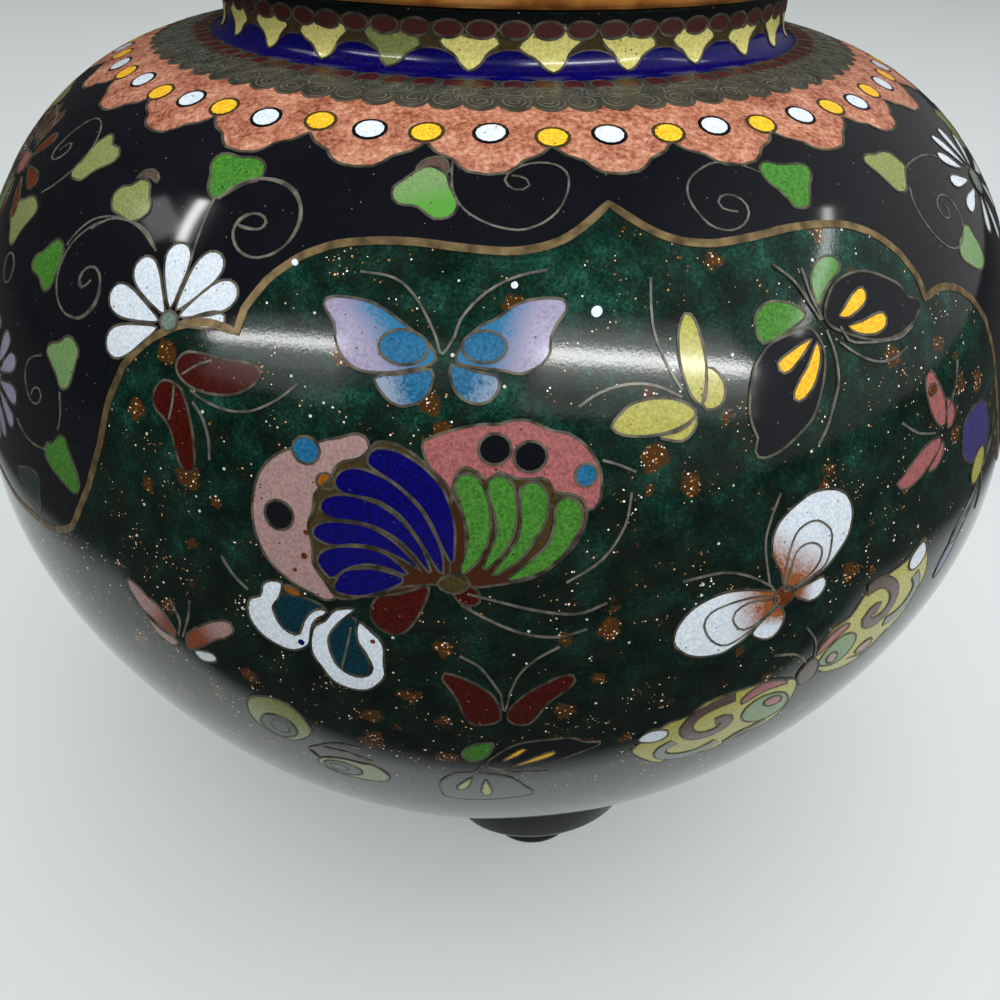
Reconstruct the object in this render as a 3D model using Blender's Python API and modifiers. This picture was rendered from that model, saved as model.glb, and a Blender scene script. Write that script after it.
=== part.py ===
"""Lidded tripod vessel: an enamelled globe on three feet, with a copper mouth and a domed lid.

Metres, +Z up. The origin is on the vessel's axis, in the plane of the three soles.
Azimuth 0 is towards -Y, where the front foot stands, and it grows towards +X.
"""

from math import cos, pi, radians, sin

import bmesh
import bpy
from mathutils import Matrix, Vector

# Body
BODY_RADIUS = 0.0575            # at the widest level
WIDEST_LEVEL = 0.0543           # height of that level above the ground
BOTTOM_LEVEL = 0.0080           # underside of the body
BOTTOM_FLAT_RADIUS = 0.026      # the flat in the middle of the underside
BELLY_FULLNESS = 0.0190         # how far the side stays upright below the widest level
BOTTOM_FULLNESS = 0.0100        # how far the underside stays level
SHOULDER_UPRIGHT = 0.0080       # how far the side stays upright above the widest level
SHOULDER_REACH = 0.0250         # how far the shoulder stays nearly level before the neck
SHOULDER_PITCH = radians(5.6)   # slope of the shoulder where it meets the neck
SHOULDER_LEVEL = 0.0926         # height of that meeting
WALL = 0.0026                   # copper with enamel on both faces

# Neck
NECK_FOOT_RADIUS = 0.0300       # where the shoulder ends
NECK_RADIUS = 0.0280            # the upright part
NECK_HEIGHT = 0.0052            # from the shoulder to the underside of the mouth rim
SWEEP_CORNER = 0.4              # share of the hollow sweep left for its tightest bend

# Mouth rim
RIM_OVERHANG = 0.0022           # how far it stands out past the neck
RIM_THICKNESS = 0.0022
RIM_COLLAR_DEPTH = 0.0040       # its collar inside the neck
COLLAR_WALL = 0.0010
RIM_EDGE_ROUND = 0.0008

# Lid
LID_RING_THICKNESS = 0.0020
LID_RING_ROUND = 0.0007
LID_COLLAR_DEPTH = 0.0032       # how far the locating collar goes down inside the mouth
LID_STEP = 0.0009               # how far the dome stands in from the ring's edge
LID_HEIGHT = 0.0205
LID_TOP_RADIUS = 0.0062         # flat seat for the knob
LID_UPRIGHT = 0.0105            # how far the dome's side rises before it turns in
LID_CROWN = 0.0150              # how far the crown stays nearly level
LID_WALL = 0.0024

# Knob
KNOB_FOOT_RADIUS = 0.0054
KNOB_FOOT_HEIGHT = 0.0016
KNOB_NECK_RADIUS = 0.0024
KNOB_NECK_HEIGHT = 0.0034
KNOB_SWELL = 0.0099             # radius that the bud's curve is pulled towards
KNOB_HEIGHT = 0.0118            # from the neck to the tip
KNOB_TIP_RADIUS = 0.0008
BUD_POINT = 0.30                # share of the bud's height that draws out to the tip
STEM_HOLLOW = 0.4               # share of the stem's height that stays slender

# Feet
FEET = ("foot_front", "foot_right", "foot_left")
FOOT_CIRCLE = 0.0264            # radius of the circle that the soles stand on
SOLE_LENGTH = 0.0090            # out from the axis
SOLE_WIDTH = 0.0105
SOLE_EDGE = 0.0009              # height of the sole's rounded edge
SOLE_EASING = 0.9               # share of its size that the sole keeps under that edge
ANKLE_HEIGHT = 0.0040
ANKLE_LENGTH = 0.0076
ANKLE_WIDTH = 0.0088
KNEE_HEIGHT = 0.0086
KNEE_LENGTH = 0.0138
KNEE_WIDTH = 0.0210
KNEE_OUTSET = 0.0028            # how far the knee stands out from the sole's centre
FOOT_TOP = 0.0145               # the rough top, before it is cut to the body

# Fits and facets
SEAM = 0.0003                   # between pieces that touch
ROUND_SEGMENTS = 48
KNOB_SEGMENTS = 24
FOOT_SIDES = 16
MERGE = 0.00001

# Colours are linear RGB, then metallic and roughness
FINISHES = {
    "enamel_green": ((0.012, 0.050, 0.040, 1), 0.0, 0.12),
    "enamel_black": ((0.003, 0.004, 0.006, 1), 0.0, 0.10),
    "copper": ((0.46, 0.20, 0.08, 1), 1.0, 0.34),
}


def empty_scene():
    for thing in list(bpy.data.objects):
        bpy.data.objects.remove(thing, do_unlink=True)


def new_collection(name):
    group = bpy.data.collections.new(name)
    bpy.context.scene.collection.children.link(group)
    return group


def finish(name, look):
    colour, metallic, roughness = FINISHES[look]
    material = bpy.data.materials.new(name)
    material.use_nodes = True
    shader = material.node_tree.nodes["Principled BSDF"]
    shader.inputs["Base Color"].default_value = colour
    shader.inputs["Metallic"].default_value = metallic
    shader.inputs["Roughness"].default_value = roughness
    material.diffuse_color = colour
    return material


def bezier(start, start_handle, end_handle, end, steps):
    """Points of a cubic curve, both ends included."""
    points = []
    for i in range(steps + 1):
        t = i / steps
        s = 1 - t
        weights = (s ** 3, 3 * s * s * t, 3 * s * t * t, t ** 3)
        parts = (start, start_handle, end_handle, end)
        points.append(tuple(sum(w * p[k] for w, p in zip(weights, parts)) for k in (0, 1)))
    return points


def arc(centre, radius, first_angle, last_angle, steps=2):
    """Points of an arc, in degrees counter-clockwise from the outward direction."""
    points = []
    for i in range(steps + 1):
        angle = radians(first_angle + (last_angle - first_angle) * i / steps)
        points.append((centre[0] + radius * cos(angle), centre[1] + radius * sin(angle)))
    return points


def inset(points, distance):
    """The same line moved square to itself, to the side of the axis."""
    moved = []
    for i, (r, z) in enumerate(points):
        before = points[max(i - 1, 0)]
        after = points[min(i + 1, len(points) - 1)]
        along = Vector((after[0] - before[0], after[1] - before[1])).normalized()
        moved.append((r + distance * along.y, z - distance * along.x))
    return moved


def turned(name, profile, look, group, segments=ROUND_SEGMENTS):
    """Turn a profile of (radius, height), listed down its outer side, about the axis."""
    mesh = bpy.data.meshes.new(name)
    pairs = [(i, (i + 1) % len(profile)) for i in range(len(profile))]
    edges = [(a, b) for a, b in pairs if profile[a][0] > 0 or profile[b][0] > 0]
    mesh.from_pydata([(r, 0, z) for r, z in profile], edges, [])
    piece = bpy.data.objects.new(name, mesh)
    group.objects.link(piece)
    screw = piece.modifiers.new("turn", "SCREW")
    screw.axis = "Z"
    screw.steps = segments
    screw.render_steps = segments
    screw.use_merge_vertices = True
    screw.merge_threshold = MERGE
    screw.use_smooth_shade = True
    piece.data.materials.append(finish(name, look))
    return piece


def body_side(shoulder_steps=8, belly_steps=9):
    """The body's outer side, from the neck's foot down to the flat underside."""
    widest = (BODY_RADIUS, WIDEST_LEVEL)
    neck_foot = (NECK_FOOT_RADIUS, SHOULDER_LEVEL)
    shoulder_handle = (NECK_FOOT_RADIUS + SHOULDER_REACH * cos(SHOULDER_PITCH),
                       SHOULDER_LEVEL - SHOULDER_REACH * sin(SHOULDER_PITCH))
    shoulder = bezier(neck_foot, shoulder_handle,
                      (BODY_RADIUS, WIDEST_LEVEL + SHOULDER_UPRIGHT), widest, shoulder_steps)
    belly = bezier(widest, (BODY_RADIUS, WIDEST_LEVEL - BELLY_FULLNESS),
                   (BOTTOM_FLAT_RADIUS + BOTTOM_FULLNESS, BOTTOM_LEVEL),
                   (BOTTOM_FLAT_RADIUS, BOTTOM_LEVEL), belly_steps)
    return shoulder + belly[1:]


def neck_side():
    """The neck's outer side, from its top down to the shoulder: upright, then a hollow sweep."""
    top = (NECK_RADIUS, SHOULDER_LEVEL + NECK_HEIGHT - SEAM)
    sweep = NECK_FOOT_RADIUS - NECK_RADIUS
    start = (NECK_RADIUS, SHOULDER_LEVEL + sweep)
    foot = (NECK_FOOT_RADIUS, SHOULDER_LEVEL)
    corner = sweep * SWEEP_CORNER
    return [top] + bezier(start, (NECK_RADIUS, SHOULDER_LEVEL + corner),
                          (NECK_RADIUS + corner, SHOULDER_LEVEL), foot, 3)[:-1]


def make_bowl(group):
    inner = inset(neck_side() + body_side(5, 6), WALL)
    profile = neck_side() + body_side() + [(0, BOTTOM_LEVEL), (0, BOTTOM_LEVEL + WALL)]
    return turned("bowl", profile + inner[::-1], "enamel_green", group)


def make_ring(name, low, thickness, rounding, collar_radius, collar_depth, group):
    """A copper ring with a rounded edge and a collar that goes down inside the mouth."""
    high = low + thickness
    middle = NECK_RADIUS + RIM_OVERHANG - rounding
    profile = arc((middle, high - rounding), rounding, 90, 0)
    profile += arc((middle, low + rounding), rounding, 0, -90)
    inner = collar_radius - COLLAR_WALL
    profile += [(collar_radius, low), (collar_radius, low - collar_depth),
                (inner, low - collar_depth), (inner, high)]
    return turned(name, profile, "copper", group)


def mouth_collar_radius():
    return NECK_RADIUS - WALL - SEAM


def make_mouth_rim(group):
    low = SHOULDER_LEVEL + NECK_HEIGHT
    return make_ring("mouth_rim", low, RIM_THICKNESS, RIM_EDGE_ROUND,
                     mouth_collar_radius(), RIM_COLLAR_DEPTH, group)


def lid_ring_level():
    return SHOULDER_LEVEL + NECK_HEIGHT + RIM_THICKNESS + SEAM


def make_lid_rim(group):
    collar_radius = mouth_collar_radius() - COLLAR_WALL - SEAM
    return make_ring("lid_rim", lid_ring_level(), LID_RING_THICKNESS, LID_RING_ROUND,
                     collar_radius, LID_COLLAR_DEPTH, group)


def lid_foot_level():
    return lid_ring_level() + LID_RING_THICKNESS + SEAM


def lid_side(radius, foot, steps):
    """The dome's outer side, from the knob's seat down to its foot."""
    top = foot + LID_HEIGHT
    return bezier((LID_TOP_RADIUS, top), (LID_TOP_RADIUS + LID_CROWN, top),
                  (radius, foot + LID_UPRIGHT), (radius, foot), steps)


def make_lid(group):
    foot = lid_foot_level()
    radius = NECK_RADIUS + RIM_OVERHANG - LID_STEP
    under = inset(lid_side(radius, foot, 6), LID_WALL)
    under[-1] = (radius - LID_WALL, foot)
    profile = [(0, foot + LID_HEIGHT)] + lid_side(radius, foot, 9) + under[::-1]
    profile.append((0, foot + LID_HEIGHT - LID_WALL))
    return turned("lid", profile, "enamel_black", group)


def make_knob(group):
    base = lid_foot_level() + LID_HEIGHT + SEAM
    neck_start = base + KNOB_FOOT_HEIGHT
    bud_start = neck_start + KNOB_NECK_HEIGHT
    tip = bud_start + KNOB_HEIGHT
    pull = KNOB_HEIGHT * BUD_POINT
    bud = bezier((KNOB_TIP_RADIUS, tip), (KNOB_TIP_RADIUS, tip - pull),
                 (KNOB_SWELL, bud_start + pull), (KNOB_NECK_RADIUS, bud_start), 9)
    slender = neck_start + KNOB_NECK_HEIGHT * STEM_HOLLOW
    stem = bezier((KNOB_NECK_RADIUS, bud_start), (KNOB_NECK_RADIUS, slender),
                  (KNOB_NECK_RADIUS, neck_start), (KNOB_FOOT_RADIUS, neck_start), 4)
    profile = [(0, tip)] + bud + stem[1:] + [(KNOB_FOOT_RADIUS, base), (0, base)]
    return turned("finial", profile, "copper", group, segments=KNOB_SEGMENTS)


def foot_sections():
    """Height, outset from the sole's centre, length and width of the foot, from the sole up."""
    yield 0.0, 0.0, SOLE_LENGTH * SOLE_EASING, SOLE_WIDTH * SOLE_EASING
    for share in (0.0, 0.5, 1.0):
        yield (SOLE_EDGE + (ANKLE_HEIGHT - SOLE_EDGE) * share, 0.0,
               SOLE_LENGTH + (ANKLE_LENGTH - SOLE_LENGTH) * share,
               SOLE_WIDTH + (ANKLE_WIDTH - SOLE_WIDTH) * share)
    for share in (0.35, 0.70, 1.0):
        ease = share * share * (3 - 2 * share)
        yield (ANKLE_HEIGHT + (KNEE_HEIGHT - ANKLE_HEIGHT) * share, KNEE_OUTSET * ease,
               ANKLE_LENGTH + (KNEE_LENGTH - ANKLE_LENGTH) * ease,
               ANKLE_WIDTH + (KNEE_WIDTH - ANKLE_WIDTH) * ease)
    yield FOOT_TOP, KNEE_OUTSET, KNEE_LENGTH, KNEE_WIDTH


def make_clearance(group):
    """The body's outer form, swollen by the seam, for cutting the feet to it."""
    profile = inset(body_side(), -SEAM)
    profile = [(0, profile[0][1])] + profile + [(0, BOTTOM_LEVEL - SEAM)]
    tool = turned("body_clearance", profile, "enamel_black", group)
    tool.hide_render = True
    tool.display_type = "WIRE"
    return tool


def make_foot(name, azimuth, tool, group):
    """A foot drawn up ring by ring from its sole, then cut to the body's curve."""
    sections = list(foot_sections())
    height, outset, length, width = sections[0]
    shape = bmesh.new()
    ring = bmesh.ops.create_circle(shape, cap_ends=True, radius=0.5, segments=FOOT_SIDES)["verts"]
    bmesh.ops.scale(shape, vec=(width, length, 1), verts=ring)
    bmesh.ops.translate(shape, vec=(0, -FOOT_CIRCLE - outset, height), verts=ring)
    edges = shape.edges[:]
    for below, above in zip(sections, sections[1:]):
        grown = bmesh.ops.extrude_edge_only(shape, edges=edges)["geom"]
        ring = [item for item in grown if isinstance(item, bmesh.types.BMVert)]
        edges = [item for item in grown if isinstance(item, bmesh.types.BMEdge)]
        to_centre = Matrix.Translation((0, FOOT_CIRCLE + below[1], 0))
        stretch = (above[3] / below[3], above[2] / below[2], 1)
        bmesh.ops.scale(shape, vec=stretch, verts=ring, space=to_centre)
        bmesh.ops.translate(shape, vec=(0, below[1] - above[1], above[0] - below[0]), verts=ring)
    bmesh.ops.holes_fill(shape, edges=edges, sides=0)
    bmesh.ops.recalc_face_normals(shape, faces=shape.faces[:])
    mesh = bpy.data.meshes.new(name)
    shape.to_mesh(mesh)
    shape.free()
    foot = bpy.data.objects.new(name, mesh)
    group.objects.link(foot)
    foot.rotation_euler = (0, 0, azimuth)
    mesh.materials.append(finish(name, "enamel_black"))
    cut = foot.modifiers.new("cut_to_body", "BOOLEAN")
    cut.operation = "DIFFERENCE"
    cut.solver = "EXACT"
    cut.object = tool
    mesh.shade_smooth()
    mesh.set_sharp_from_angle(angle=radians(40))
    return foot


def main():
    empty_scene()
    vessel = new_collection("tripod_vessel")
    tools = new_collection("cutters")
    make_bowl(vessel)
    make_mouth_rim(vessel)
    make_lid_rim(vessel)
    make_lid(vessel)
    make_knob(vessel)
    tool = make_clearance(tools)
    for i, name in enumerate(FEET):
        make_foot(name, i * 2 * pi / len(FEET), tool, vessel)


main()
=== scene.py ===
from math import cos, pi, radians, sin

import bpy
import numpy as np
from mathutils import Matrix, Vector
from mathutils.geometry import delaunay_2d_cdt


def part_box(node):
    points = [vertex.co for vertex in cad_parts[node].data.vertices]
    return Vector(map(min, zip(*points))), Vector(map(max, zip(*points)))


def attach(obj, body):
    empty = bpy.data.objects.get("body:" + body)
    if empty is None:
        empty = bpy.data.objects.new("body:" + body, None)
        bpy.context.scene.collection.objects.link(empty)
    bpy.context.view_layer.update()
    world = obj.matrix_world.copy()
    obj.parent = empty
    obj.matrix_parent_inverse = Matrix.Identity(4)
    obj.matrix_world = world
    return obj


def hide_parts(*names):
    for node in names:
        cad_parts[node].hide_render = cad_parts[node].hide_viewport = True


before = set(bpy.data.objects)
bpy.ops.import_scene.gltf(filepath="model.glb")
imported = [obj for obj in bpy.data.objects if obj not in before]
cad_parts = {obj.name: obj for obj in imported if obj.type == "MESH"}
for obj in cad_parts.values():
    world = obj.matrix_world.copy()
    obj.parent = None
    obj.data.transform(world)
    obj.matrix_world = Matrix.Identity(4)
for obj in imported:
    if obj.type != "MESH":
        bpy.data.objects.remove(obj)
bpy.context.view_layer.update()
mm = 0.001
turn = 2 * pi
print("frame loaded:", len(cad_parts), "nodes")


# Small helpers

def linear(code):
    # an sRGB hex colour as Blender wants it
    parts = [int(code[i:i + 2], 16) / 255 for i in (1, 3, 5)]
    return tuple(c / 12.92 if c <= 0.04045 else ((c + 0.055) / 1.055) ** 2.4 for c in parts) + (1,)


def addNode(tree, kind, settings=None, links=None, stops=None):
    node = tree.nodes.new(kind)
    for key, value in (settings or {}).items():
        if isinstance(key, str) and hasattr(node, key):
            setattr(node, key, value)
        else:
            node.inputs[key].default_value = value
    for key, source in (links or {}).items():
        tree.links.new(source, node.inputs[key])
    if stops:
        marks = node.color_ramp.elements
        while len(marks) < len(stops):
            marks.new(0.5)
        for element, (place, colour) in zip(marks, stops):
            element.position = place
            element.color = linear(colour)
    return node


def startMaterial(name, roughness, metallic=0.0, ior=1.5):
    material = bpy.data.materials.new(name)
    material.use_nodes = True
    tree = material.node_tree
    shader = tree.nodes["Principled BSDF"]
    shader.inputs["Roughness"].default_value = roughness
    shader.inputs["Metallic"].default_value = metallic
    if metallic < 0.5:
        shader.inputs["IOR"].default_value = ior
    place = addNode(tree, "ShaderNodeTexCoord").outputs["Object"]
    return material, tree, shader, place


def noise(tree, place, size, detail, roughness=0.5):
    # size in millimetres
    return addNode(tree, "ShaderNodeTexNoise", {"Scale": 1 / (size * mm), "Detail": detail,
                   "Roughness": roughness}, {"Vector": place}).outputs


def cells(tree, place, size):
    # how far the nearest of scattered points is, and three random numbers that belong to that point
    texture = addNode(tree, "ShaderNodeTexVoronoi", {"Scale": 1 / (size * mm)}, {"Vector": place})
    kinds = addNode(tree, "ShaderNodeSeparateColor", {}, {0: texture.outputs["Color"]}).outputs
    return texture.outputs["Distance"], kinds


def calc(tree, operation, *values):
    # each value is a number or another node's output
    fixed = {i: value for i, value in enumerate(values) if isinstance(value, (int, float))}
    links = {i: value for i, value in enumerate(values) if i not in fixed}
    return addNode(tree, "ShaderNodeMath", {"operation": operation, **fixed}, links).outputs[0]


def ranged(tree, value, low, high, start=0.0, end=1.0):
    settings = {"From Min": low, "From Max": high, "To Min": start, "To Max": end}
    return addNode(tree, "ShaderNodeMapRange", settings, {"Value": value}).outputs[0]


def mix(tree, factor, first, second):
    # each colour is a hex code or another node's output
    settings, links = {"data_type": "RGBA"}, {0: factor}
    for key, colour in ((6, first), (7, second)):
        if isinstance(colour, str):
            settings[key] = linear(colour)
        else:
            links[key] = colour
    return addNode(tree, "ShaderNodeMix", settings, links).outputs[2]


def ramp(tree, value, *stops):
    return addNode(tree, "ShaderNodeValToRGB", {}, {"Fac": value}, stops).outputs["Color"]


def specks(tree, place, gap, gain, offset):
    # round spots of many sizes, and none where the point's random number is low
    distance, kinds = cells(tree, place, gap)
    return calc(tree, "LESS_THAN", distance, calc(tree, "MULTIPLY_ADD", kinds[0], gain, offset))


def bump(tree, shader, height, strength, depth):
    # depth in millimetres
    node = addNode(tree, "ShaderNodeBump", {"Strength": strength, "Distance": depth * mm}, {"Height": height})
    tree.links.new(node.outputs[0], shader.inputs["Normal"])


def bezierLine(start, startHandle, endHandle, end, steps):
    t = np.linspace(0, 1, steps + 1)[:, None]
    start, startHandle, endHandle, end = (np.array(p, float) for p in (start, startHandle, endHandle, end))
    return ((1 - t) ** 3 * start + 3 * (1 - t) ** 2 * t * startHandle
            + 3 * (1 - t) * t * t * endHandle + t ** 3 * end)


def insetLine(line, distance):
    # the same profile moved square to itself, towards the axis
    along = np.gradient(line, axis=0)
    along /= np.linalg.norm(along, axis=1)[:, None]
    return line + distance * np.stack([along[:, 1], -along[:, 0]], axis=1)


def pointsOf(*rows):
    return np.array(rows, float)


# The body's form, in millimetres, as the model has it

bowlLow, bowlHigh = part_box("bowl")
bodyForm = {
    "radius": bowlHigh.x / mm,
    "bottom": bowlLow.z / mm,
    "neckTop": bowlHigh.z / mm,
    "widest": 54.3,
    "bottomFlat": 26.0,
    "bellyFullness": 19.0,
    "bottomFullness": 10.0,
    "shoulderUpright": 8.0,
    "shoulderReach": 25.0,
    "shoulderPitch": radians(5.6),
    "shoulder": 92.6,
    "neckFoot": 30.0,
    "neck": 28.0,
    "sweepCorner": 0.4,
    "wall": 2.6,
}


def neckLine(form, steps):
    sweep = form["neckFoot"] - form["neck"]
    corner = sweep * form["sweepCorner"]
    level = form["shoulder"]
    upright = pointsOf((form["neck"], form["neckTop"]), (form["neck"], level + sweep))
    rise = np.linspace(upright[0], upright[1], max(steps // 2, 2))[:-1]
    curve = bezierLine(upright[1], (form["neck"], level + corner),
                       (form["neck"] + corner, level), (form["neckFoot"], level), steps)
    return np.vstack([rise, curve[:-1]])


def sideLine(form, shoulderSteps, bellySteps):
    widest = (form["radius"], form["widest"])
    reach = form["shoulderReach"]
    pitch = form["shoulderPitch"]
    shoulder = bezierLine((form["neckFoot"], form["shoulder"]),
                          (form["neckFoot"] + reach * cos(pitch), form["shoulder"] - reach * sin(pitch)),
                          (form["radius"], form["widest"] + form["shoulderUpright"]), widest, shoulderSteps)
    belly = bezierLine(widest, (form["radius"], form["widest"] - form["bellyFullness"]),
                       (form["bottomFlat"] + form["bottomFullness"], form["bottom"]),
                       (form["bottomFlat"], form["bottom"]), bellySteps)
    return np.vstack([shoulder, belly[1:]])


lidForm = {
    "foot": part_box("lid")[0].z / mm,
    "top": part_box("lid")[1].z / mm,
    "radius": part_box("lid")[1].x / mm,
    "seat": 6.2,
    "upright": 10.5,
    "crown": 15.0,
    "wall": 2.4,
}


def lidLine(form, steps):
    return bezierLine((form["seat"], form["top"]), (form["seat"] + form["crown"], form["top"]),
                      (form["radius"], form["foot"] + form["upright"]), (form["radius"], form["foot"]), steps)


# Turned pieces: a profile drawn by extruding one point, then spun

def drawProfile(name, profile):
    bpy.ops.object.select_all(action="DESELECT")
    bpy.ops.mesh.primitive_plane_add(size=mm)
    piece = bpy.context.object
    piece.name = name
    piece.data.name = name
    bpy.ops.object.mode_set(mode="EDIT")
    bpy.ops.mesh.select_all(action="SELECT")
    bpy.ops.mesh.merge(type="CENTER")
    places = [Vector((r * mm, 0, z * mm)) for r, z in profile]
    bpy.ops.transform.translate(value=places[0])
    for before, after in zip(places, places[1:]):
        bpy.ops.mesh.extrude_region_move(TRANSFORM_OT_translate={"value": after - before})
    return piece


def turnPiece(name, profile, segments):
    # the profile runs right round the wall and may start and end on the axis
    piece = drawProfile(name, profile)
    bpy.ops.mesh.select_all(action="SELECT")
    bpy.ops.mesh.spin(steps=segments, angle=turn, center=(0, 0, 0), axis=(0, 0, 1))
    bpy.ops.mesh.select_all(action="SELECT")
    bpy.ops.mesh.remove_doubles(threshold=0.002 * mm)
    bpy.ops.mesh.delete_loose()
    bpy.ops.mesh.select_all(action="SELECT")
    bpy.ops.mesh.normals_make_consistent(inside=False)
    bpy.ops.object.mode_set(mode="OBJECT")
    bpy.ops.object.shade_smooth_by_angle(angle=radians(40))
    return piece


def dress(piece, materials, slot, *nodes):
    for material in materials:
        piece.data.materials.append(material)
    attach(piece, "root")
    if nodes:
        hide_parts(*nodes)


# Finishes

aventurineLook = {
    "grain": 0.27,          # mm, the ground glass's grain
    "cloud": 2.6,           # mm, lighter and darker drifts
    "drift": 3.4,           # mm, between loose gatherings of copper crystals
    "nestGap": 3.0,         # mm between the brown nests they grow in
    "nestTear": 1.3,        # mm, how far the nests' edges wander
    "tearGrain": 0.8,       # mm, how finely they do
    "fleck": 0.22,          # mm between crystals
    "stray": 1.1,           # mm between single pale flecks
    "height": (20, 85),     # mm over the floor, where the painted light from above starts and ends: the ground is drawn lighter towards the top
    "lift": (-0.1, 0.215),              # the painted light's tone there, added to the ground's tone
    "smoky": "#151b13",
    "nest": "#432a0f",
    "pale": "#c6c8b4",
}


def makeAventurine(look):
    # translucent green glass with copper crystals: grainy deep green, drawn lighter towards the top as
    # painted light from above, gold crystals that gather in brown nests, the brightest of them a painted
    # glint
    material, tree, shader, place = startMaterial("greenAventurineEnamel", 0.09)
    grain = noise(tree, place, look["grain"], 2.0, 0.8)["Fac"]
    cloud = noise(tree, place, look["cloud"], 3.0)["Fac"]
    height = addNode(tree, "ShaderNodeSeparateXYZ", {}, {0: place}).outputs["Z"]
    low, high = look["height"]
    # painted light: the green is drawn lighter towards the top, as the light from above falls on it
    paintedTopLight = ranged(tree, height, low * mm, high * mm, *look["lift"])
    tone = calc(tree, "MULTIPLY_ADD", cloud, 0.66, calc(tree, "MULTIPLY_ADD", grain, 0.55, paintedTopLight))
    green = ramp(tree, ranged(tree, tone, 0.50, 1.0), (0.0, "#020a08"), (0.34, "#04140f"), (0.58, "#09251d"),
                 (0.8, "#123a2f"), (1.0, "#275848"))
    gathered = noise(tree, place, look["drift"], 4.0, 0.7)["Fac"]
    dusky = mix(tree, ranged(tree, gathered, 0.44, 0.62, 0.0, 0.65), green, look["smoky"])
    tear = look["nestTear"] * mm
    torn = addNode(tree, "ShaderNodeVectorMath", {"operation": "MULTIPLY_ADD", 1: (tear, tear, tear)},
                   {0: noise(tree, place, look["tearGrain"], 3.0)["Color"], 2: place}).outputs[0]
    away, nestKinds = cells(tree, torn, look["nestGap"])
    reach = calc(tree, "MULTIPLY_ADD", grain, -0.35, calc(tree, "MULTIPLY_ADD", nestKinds[0], 0.62, -0.05))
    nest = ranged(tree, calc(tree, "SUBTRACT", reach, away), 0.0, 0.05)
    brown = mix(tree, nest, dusky, look["nest"])
    distance, kinds = cells(tree, place, look["fleck"])
    lit = calc(tree, "LESS_THAN", distance, calc(tree, "MULTIPLY", kinds[0], 0.42))
    loose = ranged(tree, gathered, 0.52, 0.66, 0.0, 0.5)
    shown = calc(tree, "LESS_THAN", kinds[1], calc(tree, "MULTIPLY_ADD", nest, 0.8, loose))
    # the crystals' colour: their own copper and gold, running up to near white as a painted glint for their
    # sparkle
    crystalAndPaintedGlint = ramp(tree, kinds[2], (0.0, "#6a4018"), (0.35, "#b8783a"), (0.6, "#e8bc84"), (0.8, "#fff8ec"))
    golden = mix(tree, calc(tree, "MULTIPLY", lit, shown), brown, crystalAndPaintedGlint)
    whole = mix(tree, specks(tree, place, look["stray"], 0.28, -0.15), golden, look["pale"])
    tree.links.new(whole, shader.inputs["Base Color"])
    bump(tree, shader, grain, 0.22, 0.02)
    return material


blackLook = {"pitGap": 0.6, "haze": 9.0}


def makeBlack(look, name="blackEnamel", ior=1.5):
    # opaque black glass polished by hand: deep black with pin-prick pits that have filled with pale polish
    material, tree, shader, place = startMaterial(name, 0.09, ior=ior)
    base = mix(tree, noise(tree, place, look["haze"], 2.0)["Fac"], "#07080b", "#12141a")
    whole = mix(tree, specks(tree, place, look["pitGap"], 0.24, -0.12), base, "#5e6268")
    tree.links.new(whole, shader.inputs["Base Color"])
    return material


salmonLook = {"grain": 0.42, "cloud": 2.2}


def makeSalmon(look):
    # coarse salmon glass ground flat: brick and pale grains side by side, with open pores
    material, tree, shader, place = startMaterial("salmonEnamel", 0.24)
    grain = noise(tree, place, look["grain"], 3.0, 0.7)["Fac"]
    cloud = noise(tree, place, look["cloud"], 1.0)["Fac"]
    tone = ranged(tree, calc(tree, "MULTIPLY_ADD", cloud, 0.45, grain), 0.45, 1.02)
    colour = ramp(tree, tone, (0.0, "#562618"), (0.3, "#8f543e"), (0.6, "#b07860"), (1.0, "#d4a688"))
    tree.links.new(colour, shader.inputs["Base Color"])
    bump(tree, shader, grain, 0.5, 0.03)
    return material


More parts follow.
